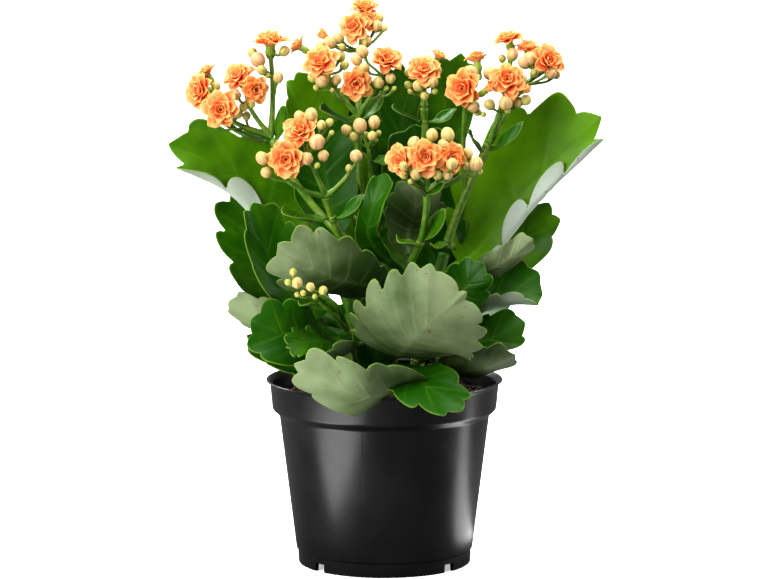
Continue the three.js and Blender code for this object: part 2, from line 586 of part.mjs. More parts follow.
function headSolid(head, grow = 0) {
  const pieces = [];
  for (const branch of head.branches ?? []) {
    pieces.push(tube([head.hub, ...branch], branchRadius + grow, 6, 3));
  }
  const joint = new THREE.OctahedronGeometry(1.8 * branchRadius + grow);
  pieces.push(solidOf(joint.translate(...head.hub)));
  for (const [at, tip, width] of head.bracts ?? []) {
    const curve = smoothCurve([head.hub, ...head.branches[0]]);
    pieces.push(bractSolid(curve.getPoint(at), tip, width, grow));
  }
  const buds = head.buds.filter(([, , , radius]) => radius > smallestBud);
  for (const item of [...head.flowers ?? [], ...buds]) {
    const tip = vec(item.slice(0, 3));
    const foot = stalkFoot(head, tip);
    const length = foot.distanceTo(tip);
    const stalk = new THREE.CylinderGeometry(pedicelRadius + grow, pedicelRadius + grow, length, 3);
    stalk.applyQuaternion(turnTo(tip.clone().sub(foot)));
    pieces.push(solidOf(stalk.translate(...foot.clone().lerp(tip, 0.5))));
    pieces.push(item.length > 4 ? flowerSolid(item, grow) : budSolid(item, grow));
  }
  return union(pieces);
}

function turned(profile) {
  const outline = profile.map(([r, z]) => new THREE.Vector2(r, z));
  return solidOf(new THREE.LatheGeometry(outline, 36).rotateX(Math.PI / 2));
}

// the pot, turned about its axis, with its drain notches cut through the foot ring
function potSolid() {
  const floorHeight = 4.5;
  const footStep = 0.8;
  const bandTop = potHeight - 2;
  const lipDepth = 1.2;
  const profile = [
    [0, floorHeight],
    [baseRadius - 2.2, floorHeight],
    [baseRadius - 1.8, 0],
    [baseRadius, 0],
    [baseRadius + 0.3, footTop],
    [baseRadius + footStep + 0.3, footTop + 0.6],
    [wallRadius, wallTop],
    [bandRadius, bandFoot],
    [bandRadius + 1.2, bandTop],
    [lipRadius, potHeight - 0.3],
    [lipRadius - 0.3, potHeight],
    [lipRadius - lipDepth, potHeight],
    [bandRadius + 1.2 - wall, bandTop - 0.8],
    [bandRadius - wall, bandFoot + 0.6],
    [wallRadius - wall, wallTop + 0.6],
    [baseRadius - 0.6, footTop],
    [0, footTop],
  ];
  let pot = turned(profile);
  const notch = { width: 6.5, height: 4.2, reach: 8, angles: [42, 138, 222, 318] };
  for (const angle of notch.angles) {
    const turn = THREE.MathUtils.degToRad(angle);
    const block = new THREE.BoxGeometry(notch.reach, notch.width, 2 * notch.height);
    block.translate(baseRadius, 0, 0).rotateZ(turn);
    pot = pot.subtract(solidOf(block));
  }
  return pot;
}

function soilSolid() {
  const top = potHeight - soilDepth;
  const profile = [
    [0, footTop + gap],
    [baseRadius - 1.2, footTop + gap],
    [wallRadius - wall - 2 * gap, wallTop + gap],
    [bandRadius - wall - 2 * gap, bandFoot + 3 * gap],
    [bandRadius - wall - gap, top],
    [30, top + 1.5],
    [0, top + 1],
  ];
  return turned(profile);
}

const finishes = {
  pot: { color: 0x1c1d1f, roughness: 0.45, metalness: 0 },
  soil: { color: 0x2c211a, roughness: 0.95, metalness: 0 },
  stem: { color: greens.stem, roughness: 0.5, metalness: 0 },
  leaf: { color: greens.leaf, roughness: 0.45, metalness: 0 },
  flower: { color: 0xff9a5c, roughness: 0.6, metalness: 0 },
};

// Pieces are made in order, and each keeps the gap to those made before it: it is cut back by their
// grown shapes, and its largest body is kept.
const group = new THREE.Group();
const placed = [];

function place(name, finish, makeSolid, origin) {
  let solid = makeSolid(0);
  const box = solid.boundingBox();
  for (const other of placed) {
    const near = [0, 1, 2].every((k) => other.box.min[k] < box.max[k] && other.box.max[k] > box.min[k]);
    if (near) solid = solid.subtract(other.grown);
  }
  const grown = makeSolid(gap);
  placed.push({ grown, box: grown.boundingBox() });
  const geometry = geometryOf(largestBody(solid)).translate(...origin.map((v) => -v));
  const mesh = new THREE.Mesh(geometry, new THREE.MeshStandardMaterial(finishes[finish]));
  mesh.name = name;
  mesh.position.set(...origin);
  group.add(mesh);
}

place('pot', 'pot', potSolid, [0, 0, 0]);
place('soil', 'soil', soilSolid, [0, 0, 0]);
for (const [name, stem] of Object.entries(mainStems)) {
  place(name, 'stem', (grow) => stemSolid(stem, grow), stem.path[0]);
}
for (const [name, leaf] of Object.entries(leaves)) {
  const foot = smoothCurve(mainStems[`main_stem_${leaf.stem}`].path).getPoint(leaf.at).toArray();
  place(name, 'leaf', (grow) => leafSolid(leaf, [foot, ...leaf.through], grow), foot);
}
for (const [name, stem] of Object.entries(flowerStems)) {
  place(name, 'stem', (grow) => stemSolid(stem, grow), stem.path[0]);
}
for (const [name, head] of Object.entries(flowerHeads)) {
  place(name, 'flower', (grow) => headSolid(head, grow), head.hub);
}

export default group;
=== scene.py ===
import math

import bpy
import numpy as np
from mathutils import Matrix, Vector, noise


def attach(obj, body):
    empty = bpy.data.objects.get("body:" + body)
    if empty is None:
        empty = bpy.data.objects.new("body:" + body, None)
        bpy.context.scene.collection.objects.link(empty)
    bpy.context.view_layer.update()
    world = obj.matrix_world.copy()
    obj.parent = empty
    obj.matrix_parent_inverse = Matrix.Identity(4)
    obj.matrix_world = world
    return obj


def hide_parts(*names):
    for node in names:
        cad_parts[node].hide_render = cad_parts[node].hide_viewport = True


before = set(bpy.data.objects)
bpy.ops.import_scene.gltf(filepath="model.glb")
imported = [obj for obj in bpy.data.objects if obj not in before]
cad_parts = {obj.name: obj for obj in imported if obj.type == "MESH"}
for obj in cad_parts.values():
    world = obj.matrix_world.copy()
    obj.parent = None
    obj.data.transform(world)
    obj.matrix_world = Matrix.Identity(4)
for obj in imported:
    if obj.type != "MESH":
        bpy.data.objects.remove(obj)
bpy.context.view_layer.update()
mm = 0.001  # the tables below are in millimetres


# shader helpers

class Wire:  # one node socket; arithmetic on it adds Math nodes
    def __init__(self, board, socket):
        self.board, self.socket = board, socket

    def maths(self, operation, other):
        return self.board.node("ShaderNodeMath", {"operation": operation}, {0: self, 1: other})

    def __add__(self, other):
        return self.maths("ADD", other)

    def __sub__(self, other):
        return self.maths("SUBTRACT", other)

    def __mul__(self, other):
        return self.maths("MULTIPLY", other)


class Board:  # a material or world and its node tree
    def __init__(self, owner):
        owner.use_nodes = True
        self.owner, self.tree = owner, owner.node_tree
        self.tree.nodes.clear()

    def node(self, kind, settings=None, sockets=None, out=0):
        item = self.tree.nodes.new(kind)
        for key, value in (settings or {}).items():
            if key == "stops":
                ramp = item.color_ramp.elements
                while len(ramp) < len(value):
                    ramp.new(0.5)
                for element, (spot, colour) in zip(ramp, value):
                    element.position = spot
                    element.color = colour
            else:
                setattr(item, key, value)
        for key, value in (sockets or {}).items():
            if isinstance(value, Wire):
                self.tree.links.new(value.socket, item.inputs[key])
            else:
                item.inputs[key].default_value = value
        return Wire(self, item.outputs[out]) if item.outputs else None

    def mark(self, name):
        return self.node("ShaderNodeAttribute", {"attribute_name": name}, out="Fac")

    def grain(self, scale, detail=3.0, roughness=0.5):
        return self.node("ShaderNodeTexNoise", None, {
            "Vector": self.place, "Scale": scale, "Detail": detail, "Roughness": roughness})

    def ramp(self, value, stops):
        return self.node("ShaderNodeValToRGB", {"stops": stops}, {"Fac": value})

    def fade(self, value, low, high, start=0.0, end=1.0):
        return self.node("ShaderNodeMapRange", {"interpolation_type": "SMOOTHSTEP"}, {
            "Value": value, "From Min": low, "From Max": high, "To Min": start, "To Max": end})

    def mix(self, share, first, second):
        return self.node("ShaderNodeMix", {"data_type": "RGBA"}, {0: share, 6: first, 7: second}, out=2)

    def bump(self, height, strength, distance):
        return self.node("ShaderNodeBump", None, {
            "Height": height, "Strength": strength, "Distance": distance})

    def finish(self, sockets, glow=None):  # glow: light that passes under the skin: weight, colour, depth
        names = ("Subsurface Weight", "Subsurface Radius", "Subsurface Scale")
        shader = self.node("ShaderNodeBsdfPrincipled", None, sockets | dict(zip(names, glow or ())))
        self.node("ShaderNodeOutputMaterial", None, {"Surface": shader})
        return self.owner


def skinBoard(name):  # a new material, with the object's own coordinates at hand
    board = Board(bpy.data.materials.new(name))
    board.place = board.node("ShaderNodeTexCoord", out="Object")
    return board


def tint(red, green, blue):  # a screen colour as linear RGBA
    return tuple((c / 255 / 12.92 if c <= 10 else ((c / 255 + 0.055) / 1.055) ** 2.4)
                 for c in (red, green, blue)) + (1.0,)


# mesh helpers

class Heap:  # shapes gathered into one mesh, with marks on its points
    def __init__(self, marks):
        self.points, self.faces, self.count = [], [], 0
        self.marks = {name: [] for name in marks}

    def add(self, points, faces, **values):
        points = np.asarray(points, float).reshape(-1, 3)
        self.points.append(points)
        self.faces.extend(tuple(int(i) + self.count for i in face) for face in faces)
        for name, store in self.marks.items():
            store.append(np.broadcast_to(values.get(name, 0.0), len(points)))
        self.count += len(points)

    def piece(self, name, material, node=None, slot=None, weld=0.0):
        mesh = bpy.data.meshes.new(name)
        mesh.from_pydata((np.concatenate(self.points) * mm).tolist(), [], self.faces)
        for key, store in self.marks.items():
            layer = mesh.attributes.new(key, "FLOAT", "POINT")
            layer.data.foreach_set("value", np.concatenate(store).astype(np.float32))
        mesh.shade_smooth()
        mesh.materials.append(material)
        thing = bpy.data.objects.new(name, mesh)
        bpy.context.scene.collection.objects.link(thing)
        if weld:
            welder = thing.modifiers.new("weld", "WELD")
            welder.merge_threshold = weld * mm
            applyAll(thing)
        mesh = thing.data
        mesh.validate()
        mesh.update()
        if slot:
            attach(thing, "root")
        if node:
            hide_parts(node)
        return thing


def applyAll(thing):  # the evaluated mesh takes the place of the modifiers
    graph = bpy.context.evaluated_depsgraph_get()
    mesh = bpy.data.meshes.new_from_object(thing.evaluated_get(graph))
    thing.modifiers.clear()
    thing.data = mesh


def titleOf(name, skip):  # a node's later words, run together
    return "".join(word.capitalize() for word in name.split("_")[skip:])


def unit(vectors):
    vectors = np.asarray(vectors, float)
    return vectors / np.maximum(np.linalg.norm(vectors, axis=-1, keepdims=True), 1e-9)


def smoothCurve(points, t):  # Catmull-Rom through the points: places and directions at t
    points = np.asarray(points, float)
    spans = len(points) - 1
    t = np.clip(np.asarray(t, float), 0, 1) * spans
    index = np.minimum(t.astype(int), spans - 1)
    w = (t - index)[..., None]
    ends = np.vstack([2 * points[0] - points[1], points, 2 * points[-1] - points[-2]])
    before, start, stop, after = (ends[index + k] for k in range(4))
    leave, arrive = (stop - before) / 2, (after - start) / 2
    place = ((2 * w**3 - 3 * w**2 + 1) * start + (w**3 - 2 * w**2 + w) * leave
             + (3 * w**2 - 2 * w**3) * stop + (w**3 - w**2) * arrive)
    heading = ((6 * w**2 - 6 * w) * start + (3 * w**2 - 4 * w + 1) * leave
               + (6 * w - 6 * w**2) * stop + (3 * w**2 - 2 * w) * arrive)
    return place, unit(heading)


def gridFaces(rows, columns, closed=False):  # quads over a grid of points, row by row
    wrap = columns if closed else columns - 1
    return [(i * columns + j, i * columns + (j + 1) % columns,
             (i + 1) * columns + (j + 1) % columns, (i + 1) * columns + j)
            for i in range(rows - 1) for j in range(wrap)]


def closedFaces(rows, columns, inward=False):  # rings of points with a cap on each end
    last = (rows - 1) * columns
    faces = gridFaces(rows, columns, closed=True)
    faces += [tuple(range(columns - 1, -1, -1)), tuple(range(last, last + columns))]
    return [face[::-1] for face in faces] if inward else faces


def frameAbout(axis):  # two directions square to an axis
    axis = unit(axis)
    helper = np.array([1.0, 0, 0]) if abs(axis[0]) < 0.9 else np.array([0, 1.0, 0])
    side = unit(np.cross(axis, helper))
    return side, np.cross(axis, side)


def tubeGrid(points, radii, sides, steps, ridges=0.0):  # a round or four-ridged stem along a curve
    t = np.linspace(0, 1, steps + 1)
    places, headings = smoothCurve(points, t)
    radii = np.interp(t, np.linspace(0, 1, len(radii)), radii)
    side, _ = frameAbout(headings[0])
    rings = []
    for place, heading, radius in zip(places, headings, radii):
        side = unit(side - heading * np.dot(side, heading))
        other = np.cross(heading, side)
        angle = np.arange(sides) * 2 * math.pi / sides
        swell = radius * (1 + ridges * np.cos(4 * angle))
        ring = np.outer(np.cos(angle) * swell, side) + np.outer(np.sin(angle) * swell, other)
        rings.append(place + ring)
    return np.concatenate(rings), closedFaces(steps + 1, sides)


# materials

def leafFinish():
    b = skinBoard("leafSkin")
    under, edge, vein = (b.mark(name) for name in ("under", "edge", "vein"))
    tone, bloom, along = (b.mark(name) for name in ("tone", "bloom", "along"))
    patches = b.grain(60, 3)
    specks = b.grain(1400, 2)
    upper = b.mix(b.fade(patches + tone - 0.5, 0.2, 1.25), tint(30, 78, 2), tint(96, 146, 4))
    upper = b.mix(vein * 0.22, upper, tint(110, 158, 50))
    # painted shade: the underside grows darker towards the stalk, besides its random patches and tone
    pale = b.mix(b.fade(patches + tone + along * 1.2 - 1.1, 0.15, 1.3), tint(54, 78, 32), tint(136, 150, 112))
    pale = b.mix(vein * 0.3, pale, tint(142, 158, 110))
    # painted highlight: the underside is whitened a little all over as a waxy bloom, and much more on rolled
    # margins where light from behind would catch them
    pale = b.mix(bloom, pale, tint(192, 204, 190))
    colour = b.mix(under, upper, pale)
    colour = b.mix(b.fade(specks, 0.62, 0.8, 0, 0.12), colour, tint(30, 60, 8))
    colour = b.mix(under * b.fade(b.grain(420, 1), 0.7, 0.76, 0, 0.55), colour, tint(112, 70, 40))
    rim = b.mix(b.fade(b.grain(90, 2), 0.55, 0.68), tint(128, 164, 50), tint(140, 96, 50))
    colour = b.mix(edge * 0.45, colour, rim)
    rough = b.fade(patches, 0.3, 0.7, 0.3, 0.42) + under * 0.16
    relief = b.grain(2600, 2) * 0.25 + b.grain(420, 4) * 0.75
    return b.finish({
        "Base Color": colour, "Roughness": rough, "Specular IOR Level": 0.13,
        "Normal": b.bump(relief, 0.25, 0.0004)}, (0.12, (0.35, 1.0, 0.12), 0.0015))


def stemFinish():
    b = skinBoard("stemSkin")
    tone, age = b.mark("tone"), b.mark("age")
    streaks = b.grain(220, 4)
    colour = b.mix(b.fade(streaks + tone - 0.5, 0.2, 0.95), tint(58, 108, 16), tint(134, 160, 50))
    colour = b.mix(age, colour, b.mix(streaks, tint(96, 92, 48), tint(120, 128, 66)))
    return b.finish({
        "Base Color": colour, "Roughness": b.fade(streaks, 0.3, 0.7, 0.38, 0.5),
        "Normal": b.bump(b.grain(1500, 3), 0.2, 0.0003)}, (0.1, (0.4, 1.0, 0.15), 0.0012))


def petalFinish():
    b = skinBoard("petalSkin")
    reach, rim, tone, back = (b.mark(name) for name in ("reach", "rim", "tone", "back"))
    streak = b.grain(700, 3)
    along = reach + (streak - 0.5) * 0.25 + (tone - 0.5) * 0.3
    front = b.ramp(along, [(0.0, tint(236, 72, 36)), (0.35, tint(252, 98, 64)),
                           (0.7, tint(253, 136, 88)), (1.0, tint(254, 180, 126))])
    front = b.mix(rim * 0.75, front, tint(250, 184, 100))
    behind = b.mix(b.fade(streak, 0.3, 0.7), tint(246, 156, 88), tint(251, 184, 124))
    colour = b.mix(back * 0.7, front, behind)
    return b.finish({
        "Base Color": colour, "Roughness": b.fade(streak, 0.3, 0.7, 0.5, 0.62),
        "Specular IOR Level": 0.3,
        "Normal": b.bump(b.grain(2400, 2), 0.15, 0.0002)}, (0.3, (1.0, 0.4, 0.15), 0.002))


def budFinish():
    b = skinBoard("budSkin")
    height, seam, tone = (b.mark(name) for name in ("height", "seam", "tone"))
    patches = b.grain(420, 3)
    cream = b.mix(tone, tint(180, 188, 90), tint(226, 192, 144))
    blush = b.mix(b.fade(patches + tone * 0.35, 0.55, 0.95), cream, tint(234, 166, 130))
    foot = b.mix(b.fade(height, 0.05, 0.45), tint(128, 152, 50), blush)
    crown = b.mix(b.fade(height, 0.8, 1.0, 0, 0.45), foot, tint(178, 184, 84))
    colour = b.mix(seam * 0.85, crown, tint(140, 150, 56))
    return b.finish({
        "Base Color": colour, "Roughness": 0.5, "Specular IOR Level": 0.35,
        "Normal": b.bump(b.grain(2600, 2), 0.15, 0.0002)}, (0.25, (1.0, 0.7, 0.3), 0.0015))


def potFinish():
    b = skinBoard("potPlastic")
    cloud, scuff = b.grain(35, 4), b.grain(900, 2)
    colour = b.mix(b.fade(cloud, 0.35, 0.7), (0.006, 0.0064, 0.0068, 1), (0.0105, 0.011, 0.0118, 1))
    rough = b.fade(cloud, 0.3, 0.7, 0.27, 0.35) + b.fade(scuff, 0.6, 0.8, 0, 0.1)
    return b.finish({
        "Base Color": colour, "Roughness": rough, "Specular IOR Level": 0.5,
        "Normal": b.bump(b.grain(1800, 2), 0.12, 0.0001)})


def soilFinish():
    b = skinBoard("pottingCompost")
    tone = b.mark("tone")
    coarse, fine = b.grain(260, 4, 0.6), b.grain(1500, 4, 0.6)
    colour = b.mix(b.fade(coarse + tone - 0.5, 0.3, 0.75), tint(30, 20, 15), tint(92, 58, 42))
    colour = b.mix(b.fade(fine, 0.55, 0.8), colour, tint(120, 84, 66))
    return b.finish({
        "Base Color": colour, "Roughness": 0.92,
        "Normal": b.bump(fine + coarse, 0.7, 0.0012)})


leafSkin, stemSkin, petalSkin, budSkin = leafFinish(), stemFinish(), petalFinish(), budFinish()
potPlastic, compost = potFinish(), soilFinish()
print("materials made")


# the pot: a turned shell with rounded corners and drain notches

pot = {
    "height": 94, "lip": 60, "band": 56.8, "wall": 53.3, "base": 43.7, "thick": 1.3,
    "bandFoot": 79, "floor": 4.5, "footTop": 7,
    "notchAngles": (42, 138, 222, 318), "notchWidth": 6.5, "notchHeight": 4.2,
    "segments": 144,
}


def rounded(corners):  # an outline with each corner (r, z, radius) turned into an arc
    outline = []
    for i, corner in enumerate(corners):
        here = np.array(corner[:2], float)
        if i in (0, len(corners) - 1):
            outline.append(here)
            continue
        back = np.array(corners[i - 1][:2]) - here
        on = np.array(corners[i + 1][:2]) - here
        cut = min(corner[2], 0.45 * np.linalg.norm(back), 0.45 * np.linalg.norm(on))
        first, last = here + unit(back) * cut, here + unit(on) * cut
        for t in np.linspace(0, 1, 5):
            outline.append((1 - t)**2 * first + 2 * t * (1 - t) * here + t**2 * last)
    return np.array(outline)


def lathe(outline, segments):  # a turned shape whose outline starts and ends on the axis
    inner = outline[1:-1]
    angle = np.arange(segments) * 2 * math.pi / segments
    ring = np.stack([np.cos(angle), np.sin(angle)], -1)
    grid = np.concatenate([np.column_stack([ring * r, np.full(segments, z)]) for r, z in inner])
    faces = gridFaces(len(inner), segments, closed=True)
    low, high = len(grid), len(grid) + 1
    grid = np.vstack([grid, [0, 0, outline[0][1]], [0, 0, outline[-1][1]]])
    last = (len(inner) - 1) * segments
    for j in range(segments):
        faces.append((low, (j + 1) % segments, j))
        faces.append((high, last + j, last + (j + 1) % segments))
    return grid, faces


def block(size, turn, reach, name):  # a plain cutter for the drain notches
    width, height = size
    heap = Heap([])
    corners = [(x, y, z) for x in (-4, 4) for y in (-width / 2, width / 2) for z in (-height, height)]
    c, s = math.cos(turn), math.sin(turn)
    points = [((x + reach) * c - y * s, (x + reach) * s + y * c, z) for x, y, z in corners]
    heap.add(points, [(0, 1, 3, 2), (4, 6, 7, 5), (0, 4, 5, 1), (2, 3, 7, 6), (0, 2, 6, 4), (1, 5, 7, 3)])
    return heap.piece(name, potPlastic)


def makePot():
    p = pot
    wallTop = p["bandFoot"] - 3
    corners = [
        (0, p["floor"]), (p["base"] - 2.2, p["floor"], 0.6), (p["base"] - 1.8, 0, 0.3),
        (p["base"], 0, 0.5), (p["base"] + 0.3, p["footTop"], 0.3),
        (p["base"] + 1.1, p["footTop"] + 0.6, 0.4), (p["wall"], wallTop, 0.8),
        (p["band"], p["bandFoot"], 1.0), (p["band"] + 1.2, p["height"] - 2, 1.2),
        (p["lip"], p["height"] - 0.5, 0.4), (p["lip"] - 0.3, p["height"], 0.4),
        (p["lip"] - 1.3, p["height"], 0.4), (p["band"] + 1.2 - p["thick"], p["height"] - 2.8, 1.0),
        (p["band"] - p["thick"], p["bandFoot"] + 0.6, 0.8), (p["wall"] - p["thick"], wallTop + 0.6, 0.8),
        (p["base"] - 0.6, p["footTop"], 1.0), (0, p["footTop"]),
    ]
    heap = Heap([])
    heap.add(*lathe(rounded(corners), p["segments"]))
    shell = heap.piece("pot_shell", potPlastic)
    cutters = []
    for k, angle in enumerate(p["notchAngles"]):
        cutter = block((p["notchWidth"], p["notchHeight"]), math.radians(angle), p["base"], f"cutter{k}")
        cutters.append(cutter)
        cut = shell.modifiers.new("notch", "BOOLEAN")
        cut.object = cutter
    applyAll(shell)
    for cutter in cutters:
        bpy.data.objects.remove(cutter)
    shell.data.shade_smooth()
    shell.data.set_sharp_from_angle(angle=math.radians(40))
    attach(shell, "root")
    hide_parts("pot")


def makeMouldLines():  # fine ridges left by the two halves of the mould
    heap = Heap([])
    half, proud, sunk = 0.12, 0.04, 0.2  # half width, height, and depth inside the wall
    for angle in (-102, 78):
        turn = math.radians(angle)
        across = np.array([-math.sin(turn), math.cos(turn), 0])
        out = np.array([math.cos(turn), math.sin(turn), 0])
        heights = (pot["footTop"] + 2, pot["bandFoot"] - 4, pot["bandFoot"] + 1, pot["height"] - 3)
        radii = (pot["base"] + 1.2, pot["wall"] - 0.1, pot["band"] + 0.05, pot["band"] + 1.1)
        line = [out * r + np.array([0, 0, z]) for r, z in zip(radii, heights)]
        for low, high in ((0, 1), (2, 3)):
            ridge = [line[k] + step for k in (low, high)
                     for step in (across * -half, out * proud, across * half)]
            ridge += [line[low] - out * sunk, line[high] - out * sunk]
            heap.add(ridge, [
                (0, 1, 4, 3), (1, 2, 5, 4), (2, 6, 7, 5), (6, 0, 3, 7), (0, 6, 2, 1), (3, 4, 5, 7)])
    heap.piece("pot_mould_lines", potPlastic, slot="pot")


makePot()
makeMouldLines()
print("pot made")


# the compost: an uneven top with crumbs and bits of bark on it

soil = {
    "depth": 9, "swells": ((1.6, 0.09), (0.9, 0.35), (0.5, 0.9)), "rows": 56, "columns": 120,
    "step": ((54.4, 79.8), (51.2, 76.2)),  # radius and height where it follows the pot's band
    "grains": 1500, "grainSize": (0.35, 1.3), "seed": 5,
}


def lump(centre, size, rng):  # one irregular crumb
    rows, columns = 5, 7
    stretch = np.array([1, rng.uniform(0.6, 1), rng.uniform(0.4, 0.8)])
    turn = rng.uniform(0, 2 * math.pi)
    points = []
    for i in range(rows):
        lat = math.pi * (i + 0.5) / rows
        for j in range(columns):
            lon = 2 * math.pi * j / columns + turn
            swell = size * rng.uniform(0.75, 1.15)
            ball = np.array([math.sin(lat) * math.cos(lon), math.sin(lat) * math.sin(lon), math.cos(lat)])
            points.append(centre + ball * swell * stretch)
    return points, closedFaces(rows, columns, inward=True)


def soilHeight(x, y):
    spot = Vector((x, y, 0))
    return pot["height"] - soil["depth"] + sum(
        tall * noise.noise(spot * pace) for tall, pace in soil["swells"])


def makeSoil():
    rng = np.random.default_rng(soil["seed"])
    heap = Heap(["tone"])
    rows, columns = soil["rows"], soil["columns"]
    edge = pot["band"] - pot["thick"] - 0.2
    points = []
    rings = [(edge * (i + 0.4) / (rows - 0.6), None) for i in range(rows)]
    rings += [*soil["step"], (pot["base"] - 1.4, pot["footTop"] + 0.5)]
    for r, z in rings:  # the uneven top, then down the inside of the pot
        for a in np.arange(columns) * 2 * math.pi / columns:
            x, y = r * math.cos(a), r * math.sin(a)
            points.append((x, y, soilHeight(x, y) if z is None else z))
    heap.add(points, closedFaces(len(rings), columns, inward=True), tone=0.4)
    for _ in range(soil["grains"]):
        r = (edge - 1.5) * math.sqrt(rng.uniform(0.05, 1))
        a = rng.uniform(0, 2 * math.pi)
        size = rng.uniform(*soil["grainSize"]) * rng.uniform(0.6, 1.5)
        x, y = r * math.cos(a), r * math.sin(a)
        centre = np.array([x, y, soilHeight(x, y) + 0.3 * size])
        heap.add(*lump(centre, size, rng), tone=rng.uniform(0.1, 1.0))
    heap.piece("compost", compost, node="soil", slot="soil")


makeSoil()
print("compost made")


# main stems: [path], radius

mainStems = {
    "main_stem_centre": ([[0, -6, 86], [4, -12, 108], [8, -18, 130], [13, -22, 151]], 3.2),
    "main_stem_right": ([[14, 4, 86], [18, 4, 108], [24, 0, 134], [30, -4, 158]], 3.4),
    "main_stem_left": ([[-12, -2, 86], [-15, -4, 108], [-18, -10, 134], [-20, -14, 160]], 3.2),
    "main_stem_back": ([[0, 20, 86], [-3, 19, 112], [-6, 16, 140], [-10, 12, 165]], 3.2),
}


def makeMainStems():
    for name, (path, radius) in mainStems.items():
        foot = [path[0][0], path[0][1], path[0][2] - 3]  # the foot goes down into the compost
        radii = [radius * share for share in (1.1, 1, 0.95, 0.8)]
        grid, faces = tubeGrid([foot] + path[1:], radii, sides=20, steps=48, ridges=0.05)
        heap = Heap(["tone", "age"])
        age = np.clip(1 - (grid[:, 2] - path[0][2]) / 40, 0, 1) * 0.8
        heap.add(grid, faces, tone=0.35, age=age)
        for at in (0.25, 0.5, 0.75):  # the ring where a pair of leaves stood
            places, _ = smoothCurve(path, np.array([at - 0.012, at, at + 0.012]))
            radii = [radius * share for share in (0.9, 1.16, 0.9)]
            heap.add(*tubeGrid(places, radii, sides=20, steps=6), tone=0.45, age=0.3)
        heap.piece(name.replace("main_stem", "mainStem"), stemSkin, node=name, slot="stem")


makeMainStems()


# Leaves: stem and how far up it the stalk leaves, then three more points of the midrib. face is where
# the upper side looks at stalk and tip, width is left and right of the midrib, cup folds the halves
# up (radians), lobes are their number and depth, curl rolls a margin over as
# (side, where along, how far, how much), and tone runs from dark (0) to bright (1). The whitening
# number whitens the underside a little all over, as a waxy bloom, and much more on a rolled margin,
# as a painted highlight. What a leaf leaves out is in plainLeaf.

plainLeaf = dict(face=[[0, -1, 0.2]] * 2, cup=[0.3, 0.3], lobes=[6, 0.1], curl=None, bloom=0, form={})

